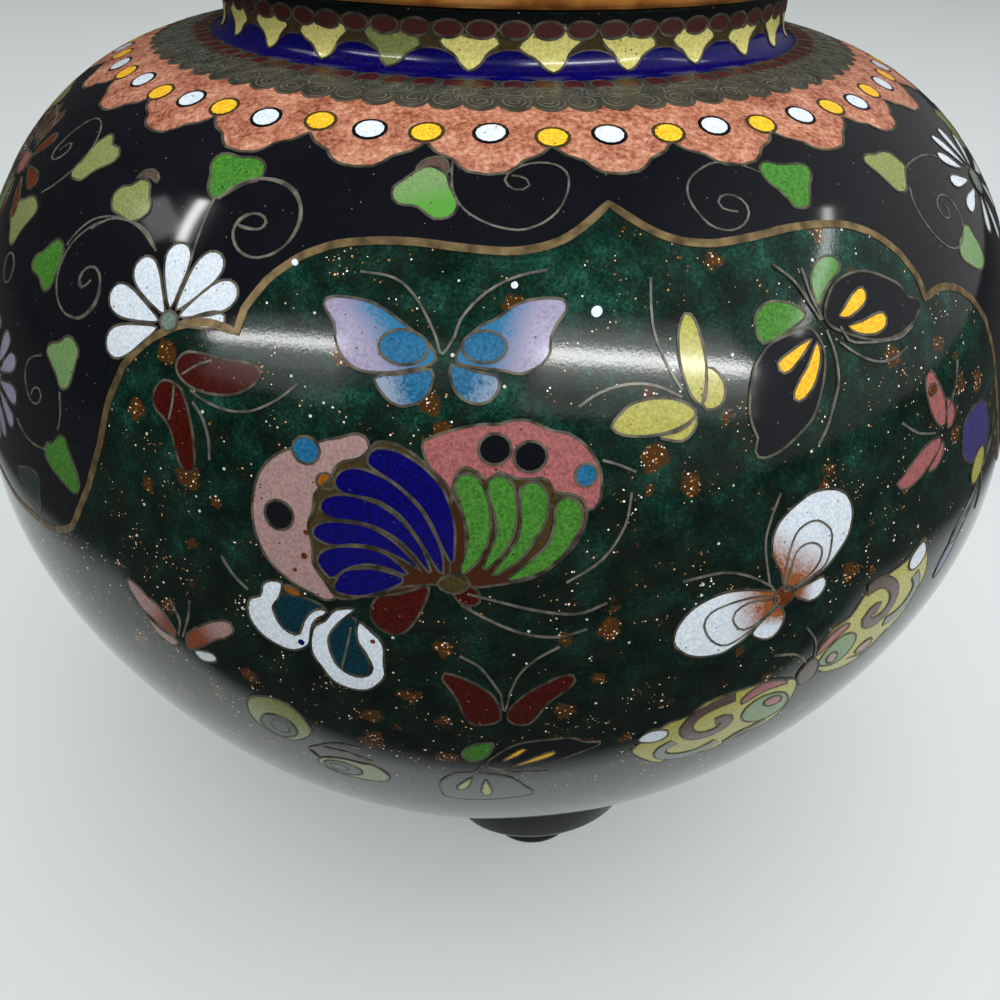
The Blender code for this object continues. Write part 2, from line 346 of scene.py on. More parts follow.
# The smaller fields are all opaque or half-clear glass, ground flush with the wires. The four colours are
# the grains' first and second, what the glass runs into along a wing, and the pits in it
enamelLooks = {
    "white": ("#dde6ee", "#bccad4", "#8a4c20", "#665848"),
    "paleBlue": ("#93a9bb", "#748ca0", "#5f7f98", "#46535e"),
    "greyGlass": ("#76857c", "#5a6a64", "#5f7f98", "#333c3a"),
    "yellow": ("#f4c634", "#d89c1c", "#7d5a12", "#4f3a12"),
    "paleYellow": ("#b2ae5a", "#949240", "#6c6c34", "#4a4820"),
    "straw": ("#e6e08a", "#c6c06a", "#7d7c3c", "#575528"),
    "cobalt": ("#08066a", "#05033e", "#14209a", "#2a2e60"),
    "oxblood": ("#4a160f", "#340d09", "#2c0c0a", "#2a0a08", 0.4),       # and how rough it is
    "darkRed": ("#45100a", "#2e0803", "#8a3a2a", "#8a5a4a"),
    "leafGreen": ("#4a8432", "#2f621f", "#2c6a24", "#16300f"),
    "sageGreen": ("#76955e", "#5f8050", "#4f8e36", "#344a2c"),
    "olive": ("#869058", "#6e7844", "#6c7a3c", "#424a24"),
    "lavender": ("#9c96ae", "#847d98", "#2a6c92", "#4a4254"),
    "turquoise": ("#206c98", "#1a4e6c", "#8494a8", "#102c3e"),
    "teal": ("#05333f", "#03202a", "#2d7c8c", "#0a2a34"),
    "pink": ("#a56462", "#804c4c", "#d8a49a", "#442226"),
    "palePink": ("#a58884", "#8a706c", "#7a4028", "#44281e"),
    "orange": ("#9a5a14", "#70400c", "#704008", "#4a2a08"),
    "bronze": ("#463c20", "#342b16", "#3c1f0e", "#1c160a"),
    "violet": ("#3f3a78", "#2e2958", "#6c6a90", "#1a1638"),
    "mauve": ("#5c4a42", "#453630", "#8f7f74", "#2a2420"),
    "greyGreen": ("#2c4038", "#1a2a24", "#6f8a78", "#101a16"),
    "rust": ("#6c3214", "#4a200c", "#a86a3c", "#2c170a"),
}
enamelGrain = 0.25      # mm
enamelPitGap = 0.48     # mm


def makeEnamel(name, first, second, run, pits, roughness=0.14):
    # glass powder fired in its cell and ground flat: faintly grainy, glossy, with a few open pits
    material, tree, shader, place = startMaterial(name, roughness)
    grain = noise(tree, place, enamelGrain, 2.0, 0.7)["Fac"]
    base = mix(tree, ranged(tree, grain, 0.36, 0.64), second, first)
    fade = addNode(tree, "ShaderNodeAttribute", {"attribute_name": "fade"}).outputs["Fac"]
    edge = calc(tree, "ADD", fade, calc(tree, "MULTIPLY_ADD", grain, 0.9, -0.45))
    blended = mix(tree, ranged(tree, edge, 0.25, 0.75), base, run)
    whole = mix(tree, specks(tree, place, enamelPitGap, 0.42, -0.22), blended, pits)
    tree.links.new(whole, shader.inputs["Base Color"])
    return material


wireLooks = {       # dull and bright, and how metallic
    "brassWire": ("#2e2b22", "#645f50", 0.35),
    "rubbedWire": ("#46453c", "#7a776c", 0.35),
    "borderBrass": ("#54452c", "#8a7650", 0.55),
}


def makeWire(name, dull, bright, metallic):
    # flat brass wire set on edge and ground level with the glass: a dull thread with brighter rubs
    material, tree, shader, place = startMaterial(name, 0.42, metallic)
    rub = ranged(tree, noise(tree, place, 1.1, 3.0)["Fac"], 0.35, 0.65)
    tree.links.new(mix(tree, rub, dull, bright), shader.inputs["Base Color"])
    return material


copperLook = {"bright": "#f4c07c", "toned": "#dc9a48", "dark": "#945c28", "lines": (40, 40, 3000)}


def makeCopper(look):
    # turned copper, handled and toned brown: warm bright and darker patches at random, fine turning lines
    material, tree, shader, place = startMaterial("tonedCopper", 0.32, 0.75)
    tarnish = noise(tree, place, 5.0, 5.0)["Fac"]
    colour = ramp(tree, tarnish, (0.3, look["dark"]), (0.48, look["toned"]), (0.7, look["bright"]))
    tree.links.new(colour, shader.inputs["Base Color"])
    tree.links.new(ranged(tree, tarnish, 0.3, 0.7, 0.52, 0.34), shader.inputs["Roughness"])
    stretch = addNode(tree, "ShaderNodeMapping", {"Scale": look["lines"]}, {"Vector": place}).outputs[0]
    lines = addNode(tree, "ShaderNodeTexNoise", {"Scale": 1.0, "Detail": 2.0}, {"Vector": stretch})
    bump(tree, shader, lines.outputs["Fac"], 0.12, 0.02)
    return material


def makeCounterEnamel():
    # the plain glass fired on the inside against warping: mottled blue-green, a little wavy and less glossy
    material, tree, shader, place = startMaterial("counterEnamel", 0.28)
    blotch = noise(tree, place, 2.2, 4.0)["Fac"]
    colour = ramp(tree, blotch, (0.3, "#0d2f36"), (0.5, "#1b4f57"), (0.68, "#3c7a7c"), (0.8, "#79a49c"))
    tree.links.new(colour, shader.inputs["Base Color"])
    bump(tree, shader, blotch, 0.3, 0.1)
    return material


def makeScrollGround():
    # dark half-clear glass crowded with wire: olive grey, with bluer patches at random
    material, tree, shader, place = startMaterial("smokyGreenEnamel", 0.38)
    drift = noise(tree, place, 2.6, 4.0, 0.7)["Fac"]
    colour = ramp(tree, drift, (0.3, "#1a1e18"), (0.5, "#31342b"), (0.64, "#403f35"), (0.74, "#1f3c40"))
    tree.links.new(colour, shader.inputs["Base Color"])
    return material


finishes = {
    "greenAventurineEnamel": makeAventurine(aventurineLook),
    "blackEnamel": makeBlack(blackLook),
    "salmonEnamel": makeSalmon(salmonLook),
    "smokyGreenEnamel": makeScrollGround(),
    "counterEnamel": makeCounterEnamel(),
    "tonedCopper": makeCopper(copperLook),
}
for name, look in wireLooks.items():
    finishes[name] = makeWire(name, *look)
for name, look in enamelLooks.items():
    finishes[name + "Enamel"] = makeEnamel(name + "Enamel", *look)
print("finishes made:", len(finishes))


# Body: one closed wall, green ground outside and counter-enamel inside

bodySteps = {"segments": 240, "neck": 16, "shoulder": 34, "belly": 36, "inner": 14}


def makeBody(form, steps):
    neck = neckLine(form, steps["neck"])
    outer = np.vstack([neck, sideLine(form, steps["shoulder"], steps["belly"])])
    inner = np.vstack([neckLine(form, 6), sideLine(form, steps["inner"], steps["inner"])])
    inner = insetLine(inner, form["wall"])
    floor = pointsOf((0, form["bottom"]), (0, form["bottom"] + form["wall"]))
    body = turnPiece("vesselBody", np.vstack([outer, floor, inner[::-1], outer[:1]]), steps["segments"])
    dress(body, [finishes["greenAventurineEnamel"], finishes["counterEnamel"]], "body_enamel", "bowl")
    markInside(body, outer, form["wall"])


def markInside(piece, outer, wall):
    # faces that lie more than three quarters of a wall in from the outer profile take the second finish
    dense = np.vstack([outer, pointsOf((0, outer[-1][1]))])
    for face in piece.data.polygons:
        c = face.center / mm
        nearest = np.min(np.hypot(dense[:, 0] - Vector((c.x, c.y)).length, dense[:, 1] - c.z))
        flatPart = abs(c.z - outer[-1][1]) < 0.1
        face.material_index = 1 if nearest > wall * 0.75 and not flatPart else 0


makeBody(bodyForm, bodySteps)
print("body turned")


# Rims: two copper rings, each with a collar that goes down inside the mouth

rimForms = {
    "mouthRim": {"node": "mouth_rim", "thickness": 2.2, "round": 0.8, "wall": 1.0, "collar": 25.1,
                 "drop": 4.0},
    "lidRim": {"node": "lid_rim", "thickness": 2.0, "round": 0.7, "wall": 1.0, "collar": 23.8, "drop": 3.2},
}


def quarterTurn(centre, radius, first, last, steps=5):
    angles = np.radians(np.linspace(first, last, steps + 1))
    return np.stack([centre[0] + radius * np.cos(angles), centre[1] + radius * np.sin(angles)], axis=1)


def makeRim(name, form, segments=192):
    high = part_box(form["node"])[1]
    low = high.z / mm - form["thickness"]
    edge = high.x / mm - form["round"]
    inner = form["collar"] - form["wall"]
    ease = 0.3      # the collar's rubbed lower edge
    profile = np.vstack([
        quarterTurn((edge, high.z / mm - form["round"]), form["round"], 90, 0),
        quarterTurn((edge, low + form["round"]), form["round"], 0, -90),
        pointsOf((form["collar"], low), (form["collar"], low - form["drop"] + ease),
                 (form["collar"] - ease, low - form["drop"]), (inner, low - form["drop"]),
                 (inner, high.z / mm - ease)),
        quarterTurn((inner + ease, high.z / mm - ease), ease, 180, 90, 3),
    ])
    rim = turnPiece(name, np.vstack([profile, profile[:1]]), segments)
    dress(rim, [finishes["tonedCopper"]], "rim_copper", form["node"])


for name, form in rimForms.items():
    makeRim(name, form)
print("rims turned")


# Lid: a thin dome, black outside and counter-enamelled underneath

def makeLid(form, segments=192):
    outer = np.vstack([pointsOf((0, form["top"])), lidLine(form, 40)])
    under = insetLine(lidLine(form, 18), form["wall"])
    under[-1] = (form["radius"] - form["wall"], form["foot"])
    profile = np.vstack([outer, under[::-1], pointsOf((0, form["top"] - form["wall"]))])
    lid = turnPiece("lidDome", profile, segments)
    dress(lid, [finishes["blackEnamel"], finishes["counterEnamel"]], "lid_enamel", "lid")
    for face in lid.data.polygons:
        c = face.center / mm
        outside = Vector((c.x, c.y, c.z - form["foot"])).dot(face.normal) > 0 and face.normal.z > -0.5
        face.material_index = 0 if outside else 1


# Knob: a copper bud on a slender stem

knobForm = {"foot": 5.4, "footHeight": 1.6, "neck": 2.4, "neckHeight": 3.4, "swell": 9.9,
            "height": 11.8, "tip": 0.8, "point": 0.30, "hollow": 0.4, "edge": 0.3}


def makeKnob(form, segments=96):
    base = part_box("finial")[0].z / mm
    neckStart = base + form["footHeight"]
    budStart = neckStart + form["neckHeight"]
    tip = budStart + form["height"]
    pull = form["height"] * form["point"]
    bud = bezierLine((form["tip"], tip), (form["tip"], tip - pull), (form["swell"], budStart + pull),
                     (form["neck"], budStart), 30)
    ease = form["edge"]
    hollow = neckStart + form["neckHeight"] * form["hollow"]
    stem = bezierLine((form["neck"], budStart), (form["neck"], hollow), (form["neck"], neckStart),
                      (form["foot"] - ease, neckStart), 14)
    edge = quarterTurn((form["foot"] - ease, neckStart - ease), ease, 90, 0)
    foot = pointsOf((form["foot"], base), (0, base))
    profile = np.vstack([pointsOf((0, tip)), bud, stem[1:-1], edge, foot])
    knob = turnPiece("budKnob", profile, segments)
    dress(knob, [finishes["tonedCopper"]], "knob_copper", "finial")


makeLid(lidForm)
makeKnob(knobForm)
print("lid and knob turned")


# Feet: drawn up ring by ring from the sole, then cut to the body

footForm = {
    "circle": 26.4, "soleLength": 9.0, "soleWidth": 10.5, "edge": 0.9, "easing": 0.9,
    "ankle": 4.0, "ankleLength": 7.6, "ankleWidth": 8.8,
    "knee": 8.6, "kneeLength": 13.8, "kneeWidth": 21.0, "outset": 2.8, "top": 14.5, "seam": 0.25,
}


def footSections(form):
    # height, outset, length and width, from the sole up
    for angle in np.radians(np.linspace(0, 90, 5)):
        share = form["easing"] + (1 - form["easing"]) * sin(angle)
        yield form["edge"] * (1 - cos(angle)), 0, form["soleLength"] * share, form["soleWidth"] * share
    for share in np.linspace(0, 1, 5)[1:]:
        yield (form["edge"] + (form["ankle"] - form["edge"]) * share, 0,
               form["soleLength"] + (form["ankleLength"] - form["soleLength"]) * share,
               form["soleWidth"] + (form["ankleWidth"] - form["soleWidth"]) * share)
    for share in np.linspace(0, 1, 9)[1:]:
        ease = share * share * (3 - 2 * share)
        yield (form["ankle"] + (form["knee"] - form["ankle"]) * share, form["outset"] * ease,
               form["ankleLength"] + (form["kneeLength"] - form["ankleLength"]) * ease,
               form["ankleWidth"] + (form["kneeWidth"] - form["ankleWidth"]) * ease)
    yield form["top"], form["outset"], form["kneeLength"], form["kneeWidth"]


def makeFoot(name, node, azimuth, form, cutter):
    sections = list(footSections(form))
    bpy.ops.object.select_all(action="DESELECT")
    bpy.ops.mesh.primitive_circle_add(vertices=48, radius=0.5 * mm, fill_type="NGON",
                                      location=(0, -form["circle"] * mm, 0))
    foot = bpy.context.object
    foot.name = name
    bpy.ops.object.transform_apply(location=True)
    bpy.ops.object.mode_set(mode="EDIT")
    bpy.ops.mesh.select_all(action="SELECT")
    size = (1, 1)
    place = (0, 0)
    for step, (height, outset, length, width) in enumerate(sections):
        if step:
            bpy.ops.mesh.extrude_region_move()
        middle = Vector((0, -(form["circle"] + place[1]) * mm, place[0] * mm))
        bpy.ops.transform.resize(value=(width / size[0], length / size[1], 1), center_override=middle)
        bpy.ops.transform.translate(value=(0, (place[1] - outset) * mm, (height - place[0]) * mm))
        size = (width, length)
        place = (height, outset)
    bpy.ops.mesh.select_all(action="SELECT")
    bpy.ops.mesh.normals_make_consistent(inside=False)
    bpy.ops.object.mode_set(mode="OBJECT")
    foot.data.transform(Matrix.Rotation(azimuth, 4, "Z"))
    cut = foot.modifiers.new("cutToBody", "BOOLEAN")
    cut.operation = "DIFFERENCE"
    cut.solver = "EXACT"
    cut.object = cutter
    bpy.ops.object.modifier_apply(modifier=cut.name)
    bpy.ops.object.shade_smooth_by_angle(angle=radians(35))
    dress(foot, [finishes["footEnamel"]], "foot_enamel", node)


sides = ("front", "right", "left")      # of the feet, the vines and the flowers, each a third of a turn on


def makeFeet(form, body):
    side = insetLine(sideLine(body, 20, 40), -form["seam"])
    profile = np.vstack([pointsOf((0, side[0][1])), side, pointsOf((0, body["bottom"] - form["seam"]))])
    cutter = turnPiece("footCutter", profile, 192)
    for i, side in enumerate(sides):
        makeFoot(side + "Foot", "foot_" + side, i * turn / 3, form, cutter)
    bpy.data.objects.remove(cutter)


finishes["footEnamel"] = makeBlack({"pitGap": 2.2, "haze": 5.0}, "footEnamel", ior=1.28)
makeFeet(footForm, bodyForm)
print("feet cut to the body")


# Inlay: thin closed chips of enamel and wires on edge, all flush with the ground to about 0.3 mm

def traceSurface(above, below):
    # s runs down the outer side in millimetres and is zero where the two stretches meet
    line = np.vstack([above, below])
    s = np.concatenate([[0], np.cumsum(np.hypot(*np.diff(line, axis=0).T))])
    along = np.gradient(line, s, axis=0)
    along /= np.linalg.norm(along, axis=1)[:, None]
    return {"s": s - s[len(above)], "r": line[:, 0], "z": line[:, 1],
            "outR": -along[:, 1], "outZ": along[:, 0]}


bodySurface = traceSurface(neckLine(bodyForm, 60), sideLine(bodyForm, 400, 400))
lidSurface = traceSurface(lidLine(lidForm, 400)[:1], lidLine(lidForm, 400)[1:])
layerStep = 0.02        # mm, how far each layer of the inlay stands over the one below
inlayDepth = 0.12       # mm, how far it goes into the ground
wireWidth = 0.2
grainStep = 1.0         # mm between points inside a chip
outlineStep = 0.5


def onSurface(surface, theta, s, lift):
    r, z, outR, outZ = (np.interp(s, surface["s"], surface[key]) for key in ("r", "z", "outR", "outZ"))
    length = np.hypot(outR, outZ)
    outR, outZ = outR / length, outZ / length
    outward = np.stack([outR * np.sin(theta), -outR * np.cos(theta), outZ], axis=-1)
    spine = np.stack([r * np.sin(theta), -r * np.cos(theta), z], axis=-1)
    return (spine + outward * lift) * mm, outward


def spread(surface, at, points, turned=0, size=1.0, mirror=False):
    # local millimetres about a place on the surface, x to the right and y up, to azimuth and s
    points = np.array(points, float) * size
    angle = radians(turned)
    x = points[:, 0] * cos(angle) - points[:, 1] * sin(angle)
    y = points[:, 0] * sin(angle) + points[:, 1] * cos(angle)
    s = at[1] - y
    side = -1 if mirror else 1
    return radians(at[0]) + side * x / np.interp(s, surface["s"], surface["r"]), s


def smoothLine(points, closed=False, step=outlineStep):
    # a curve through given points, with a point every step
    points = np.array(points, float)
    if closed:
        ring = np.vstack([points[-1:], points, points[:2]])
    else:
        ring = np.vstack([2 * points[0] - points[1], points, 2 * points[-1] - points[-2]])
    t = np.linspace(0, 1, 9)[:-1, None]
    curve = []
    for a, b, c, d in zip(ring, ring[1:], ring[2:], ring[3:]):
        curve.append(0.5 * (2 * b + (c - a) * t + (2 * a - 5 * b + 4 * c - d) * t ** 2
                            + (3 * b - a - 3 * c + d) * t ** 3))
    curve.append(ring[-2:-1])
    curve = np.vstack(curve)
    run = np.concatenate([[0], np.cumsum(np.hypot(*np.diff(curve, axis=0).T))])
    count = max(int(run[-1] / step), 12)
    even = np.linspace(0, run[-1], count + 1)
    if closed:
        even = even[:-1]
    return np.stack([np.interp(even, run, curve[:, k]) for k in (0, 1)], axis=1)


def oval(x, y, rx, ry, turned=0):
    a = np.linspace(0, turn, 17)[:-1]
    c, s = cos(radians(turned)), sin(radians(turned))
    px, py = rx * np.cos(a), ry * np.sin(a)
    return np.stack([x + px * c - py * s, y + px * s + py * c], axis=1)


def petal(base, tip, width):
    # narrow at the base, full and round at the tip
    base, tip = Vector(base), Vector(tip)
    along = tip - base
    across = Vector((-along.y, along.x)).normalized() * width / 2
    outline = []
    for a in np.linspace(0, turn, 15)[:-1]:
        share = (1 - cos(a)) / 2
        outline.append(tuple(base + along * share + across * sin(a) * (0.35 + 0.9 * share ** 1.4)))
    return outline


def startPiece(name, surface):
    return {"name": name, "surface": surface, "count": 0, "points": [], "outward": [], "fade": [],
            "faces": [], "tops": [], "slots": [], "finishes": []}


def addShell(piece, top, outward, height, faces, rim, finish, fade=None):
    if finish not in piece["finishes"]:
        piece["finishes"].append(finish)
    start, count = piece["count"], len(top)
    piece["points"] += [top, top - outward * height * mm]
    piece["outward"] += [outward, outward]
    piece["fade"] += [np.zeros(count) if fade is None else fade] * 2
    low = start + count
    piece["faces"] += [tuple(start + i for i in face) for face in faces]
    piece["faces"] += [tuple(low + i for i in reversed(face)) for face in faces]
    piece["faces"] += [(start + b, start + a, low + a, low + b) for a, b in rim]
    piece["tops"] += [True] * len(faces) + [False] * (len(faces) + len(rim))
    piece["slots"] += [piece["finishes"].index(finish)] * (2 * len(faces) + len(rim))
    piece["count"] += 2 * count


def finishPiece(piece, slot):
    mesh = bpy.data.meshes.new(piece["name"])
    mesh.from_pydata(np.vstack(piece["points"]).tolist(), [], piece["faces"])
    mesh.polygons.foreach_set("use_smooth", piece["tops"])
    mesh.polygons.foreach_set("material_index", piece["slots"])
    mesh.attributes.new("fade", "FLOAT", "POINT").data.foreach_set("value", np.concatenate(piece["fade"]))
    corners = np.zeros(len(mesh.loops), int)
    mesh.loops.foreach_get("vertex_index", corners)
    sizes = np.array([len(face) for face in piece["faces"]])
    shaded = np.repeat(np.array(piece["tops"]), sizes)
    normals = np.vstack(piece["outward"])[corners] * shaded[:, None]
    mesh.normals_split_custom_set(normals.tolist())
    made = bpy.data.objects.new(piece["name"], mesh)
    bpy.context.scene.collection.objects.link(made)
    dress(made, [finishes[name] for name in piece["finishes"]], slot)


def insideOutline(points, outline):
    following = np.roll(outline, -1, axis=0)
    x, y = points[:, 0, None], points[:, 1, None]
    crosses = (outline[:, 1] > y) != (following[:, 1] > y)
    rise = following[:, 1] - outline[:, 1]
    slope = (following[:, 0] - outline[:, 0]) / np.where(rise == 0, 1, rise)
    return np.sum(crosses & (x < outline[:, 0] + (y - outline[:, 1]) * slope), axis=1) % 2 == 1


def fillOutline(outline):
    # points on a staggered grid inside, joined up with the outline
    low, high = outline.min(axis=0), outline.max(axis=0)
    rows = np.arange(low[1], high[1], grainStep * 0.87)
    grid = [(x + (i % 2) * grainStep / 2, y) for i, y in enumerate(rows)
            for x in np.arange(low[0], high[0], grainStep)]
    inner = np.array(grid).reshape(-1, 2)
    inner = inner[insideOutline(inner, outline)]
    if len(inner):
        gap = np.min(np.linalg.norm(inner[:, None] - outline[None], axis=2), axis=1)
        inner = inner[gap > grainStep * 0.5]
    points = [Vector(p) for p in np.vstack([outline, inner])]
    flat, _, faces, *_ = delaunay_2d_cdt(points, [], [list(range(len(outline)))], 1, 1e-5)
    flat = np.array([tuple(p) for p in flat])
    sides = {(a, b) for face in faces for a, b in zip(face, face[1:] + face[:1])}
    rim = [(a, b) for a, b in sides if (b, a) not in sides]
    return flat, faces, sorted(rim)


def inlay(piece, at, outline, finish, layer, fade=None, wired=True, **how):
    outline = smoothLine(outline, closed=True)
    flat, faces, rim = fillOutline(outline)
    if how.get("mirror"):
        faces = [face[::-1] for face in faces]
        rim = [(b, a) for a, b in rim]
    share = None
    if fade is not None:
        start, end = (np.array(p, float) for p in fade)
        share = np.clip((flat - start) @ (end - start) / np.sum((end - start) ** 2), 0, 1)
    theta, s = spread(piece["surface"], at, flat, **how)
    lift = layer * layerStep
    top, outward = onSurface(piece["surface"], theta, s, lift)
    addShell(piece, top, outward, lift + inlayDepth, faces, rim, finish, share)
    if wired:
        line = np.vstack([outline, outline[:1]])
        wire(piece, at, line, layer + 1, smooth=False, closed=True, **how)


def wire(piece, at, line, layer, width=wireWidth, smooth=True, closed=False, finish="brassWire", **how):
    if isinstance(line, np.ndarray) and smooth:
        closed = True       # a loop, as an oval gives
    if smooth:
        line = smoothLine(line, closed, 0.6)
        line = np.vstack([line, line[:1]]) if closed else line
    theta, s = spread(piece["surface"], at, line, **how)
    ribbon(piece, theta, s, layer, width, closed, finish)


def ribbon(piece, theta, s, layer, width, closed, finish):
    # a flat wire along azimuths and s, level with the layer
    if closed:
        theta, s = theta[:-1], s[:-1]
    lift = layer * layerStep
    spine, outward = onSurface(piece["surface"], theta, s, lift)
    if closed:
        ahead, behind = np.roll(spine, -1, axis=0), np.roll(spine, 1, axis=0)
    else:
        ahead = np.vstack([spine[1:], spine[-1:]])
        behind = np.vstack([spine[:1], spine[:-1]])
    side = np.cross(outward, ahead - behind)
    side /= np.maximum(np.linalg.norm(side, axis=1), 1e-12)[:, None]
    top = np.vstack([spine + side * width * mm / 2, spine - side * width * mm / 2])
    n = len(spine)
    stretches = range(n) if closed else range(n - 1)
    faces = [(n + i, n + (i + 1) % n, (i + 1) % n, i) for i in stretches]
    rim = [(n + i, n + (i + 1) % n) for i in stretches] + [((i + 1) % n, i) for i in stretches]
    if not closed:
        rim += [(2 * n - 1, n - 1), (0, n)]
    addShell(piece, top, np.vstack([outward, outward]), lift + inlayDepth, faces, rim, finish)


def ringInlay(piece, upper, lower, finish, layer, columns, rows):
    # a band right round, between two lines that give s for each azimuth in degrees
    degrees = np.arange(columns) * 360 / columns
    share = np.linspace(0, 1, rows + 1)[:, None]
    s = upper(degrees) * (1 - share) + lower(degrees) * share
    theta = np.broadcast_to(np.radians(degrees), s.shape)
    lift = layer * layerStep
    top, outward = onSurface(piece["surface"], theta.ravel(), s.ravel(), lift)
    faces = []
    for row in range(rows):
        here, below = row * columns, (row + 1) * columns
        for i in range(columns):
            j = (i + 1) % columns
            faces.append((below + i, below + j, here + j, here + i))
    rim = [((i + 1) % columns, i) for i in range(columns)]
    rim += [(rows * columns + i, rows * columns + (i + 1) % columns) for i in range(columns)]
    addShell(piece, top, outward, lift + inlayDepth, faces, rim, finish)


def level(s):
    return lambda degrees: np.full(len(degrees), float(s))


# Collar: black ground down to the panels' bracket-shaped border, in three equal turns

apex = -2.8     # azimuth of the front panel's point
borderWidth = 0.62      # mm
borderTurns = ((0, 15.2), (3.5, 17.6), (6, 18.5), (9, 18.9), (13, 18.7), (17, 18.4), (20.5, 18.5), (24, 19.0),
               (27, 20.2), (29.5, 22.2), (31, 24.6), (31.3, 26.4), (34, 26.0), (37, 26.8), (40, 28.6),
               (42, 31), (43.2, 34), (44, 38), (45.5, 42), (48.5, 47), (52, 48.8), (60, 49.5))


def borderLine(degrees):
    away = np.abs((np.asarray(degrees) - apex + 60) % 120 - 60)
    return np.interp(away, *zip(*borderTurns))


def makeCollar():
    collar = startPiece("blackCollar", bodySurface)
    ringInlay(collar, level(4.2), borderLine, "blackEnamel", 1, 720, 26)
    finishPiece(collar, "body_enamel")
    edge = startPiece("panelBorder", bodySurface)
    whole = [(-a, s) for a, s in borderTurns[:0:-1]] + list(borderTurns)
    theta, s = [], []
    for third in range(3):
        for (a, b), (c, d) in zip(whole, whole[1:]):
            steps = max(int(abs(c - a) / 0.6), int(abs(d - b) / 0.7), 1)
            theta.append(np.linspace(a, c, steps + 1)[:-1] + apex + third * 120)
            s.append(np.linspace(b, d, steps + 1)[:-1])
    theta, s = smoothBorder(np.concatenate(theta), np.concatenate(s))
    ribbon(edge, np.radians(theta), s, 3, borderWidth, True, "borderBrass")
    finishPiece(edge, "body_enamel")


def smoothBorder(theta, s):
    # ease the bends between the given points, but keep the points and cusps sharp
    eased = s.copy()
    for _ in range(3):
        middle = (np.roll(eased, 1) + np.roll(eased, -1)) / 2
        corner = np.abs(np.roll(eased, 1) + np.roll(eased, -1) - 2 * eased) > 0.55
        eased = np.where(corner, eased, eased * 0.5 + middle * 0.5)
    return np.append(theta, theta[0] + 360), np.append(eased, eased[0])


# Lappets: salmon cloud collar with a dot in each lobe and notch

lappetForm = {
    "count": 27, "first": -0.8, "top": 4.4, "dots": 8.5, "dotWide": 1.12, "dotHigh": 0.98, "ringGrow": 0.28,
    "edge": ((0, 9.6), (0.06, 10.0), (0.2, 10.7), (0.36, 11.05), (0.47, 11.3), (0.56, 11.9), (0.72, 12.45),
             (1.0, 12.65)),
}


def lappetLine(count, first, edge):
    # s for each azimuth: the edge's points run from between two lappets to a lappet's middle
    def line(degrees):
        pitch = 360 / count
        away = np.abs((np.asarray(degrees) - first + pitch / 2) % pitch - pitch / 2) / (pitch / 2)
        return np.interp(1 - away, *zip(*edge))
    return line


def makeLappets(form):
    lappets = lappetLine(form["count"], form["first"], form["edge"])
    band = startPiece("salmonLappets", bodySurface)
    ringInlay(band, level(form["top"]), lappets, "salmonEnamel", 2, 1080, 8)
    degrees = np.linspace(0, 360, 1081)
    ribbon(band, np.radians(degrees), lappets(degrees), 3, 0.24, True, "brassWire")
    finishPiece(band, "body_enamel")
    dots = startPiece("lappetDots", bodySurface)
    for i in range(2 * form["count"]):
        azimuth = form["first"] + i * 180 / form["count"]
        place = (azimuth + 0.3 * sin(i * 1.7), form["dots"] + 0.25 * sin(i * 2.4))
        ground, finish = ("bronzeEnamel", "yellowEnamel") if i % 2 else ("blackEnamel", "whiteEnamel")
        for grow, glass, layer in ((form["ringGrow"], ground, 3), (0, finish, 4)):
            shape = oval(0, 0, form["dotWide"] + grow, form["dotHigh"] + grow, 20 * sin(i))
            inlay(dots, place, shape, glass, layer, wired=False)
    finishPiece(dots, "body_enamel")


# Neck: cobalt band with pale leaves, oxblood scallops above it, a row of cells and wire scrolls below

neckForm = {
    "cobaltTop": -5.9, "paintedShadeEnd": -5.2, "cobaltEnd": -0.5,
    "leaves": 27, "firstLeaf": -18.2, "leafLevel": -3.3, "archTop": -3.3, "archFoot": -1.6,
    "scallops": 66, "scallopLevel": -4.75, "scallop": (1.26, 0.66),
    "cells": 81, "cellLevel": 0.45, "scrollTop": -0.5, "scrollEnd": 4.5, "scrollDip": 0.9,
}
neckCell = ((-0.85, -0.8), (-0.9, 0.2), (-0.5, 0.85), (0.5, 0.85), (0.9, 0.2), (0.85, -0.8), (0, -1.0))
neckLeaf = (
    (-2.6, 0.5), (-2.2, 1.0), (-1.7, 1.2), (-1.2, 1.75), (-0.8, 1.2), (0, 0.9), (0.6, 1.2), (1.1, 1.75),
    (1.6, 1.25), (2.2, 1.0), (2.5, 0.4), (1.9, 0), (1.4, -0.4), (0.9, -1.2), (0, -1.8), (-0.8, -1.2),
    (-1.3, -0.5), (-2, -0.1))


def scallopLine(count, high, low):
    def line(degrees):
        return high + (low - high) * np.abs(np.sin(np.radians(np.asarray(degrees) * count / 2))) ** 0.7
    return line


def archLine(form):
    # where the cobalt starts: it rises in a rounded hump between each two leaves
    def line(degrees):
        pitch = 360 / form["leaves"]
        away = np.abs((np.asarray(degrees) - form["firstLeaf"]) % pitch - pitch / 2) / (pitch / 2)
        return form["archTop"] + (form["archFoot"] - form["archTop"]) * away ** 2.2
    return line


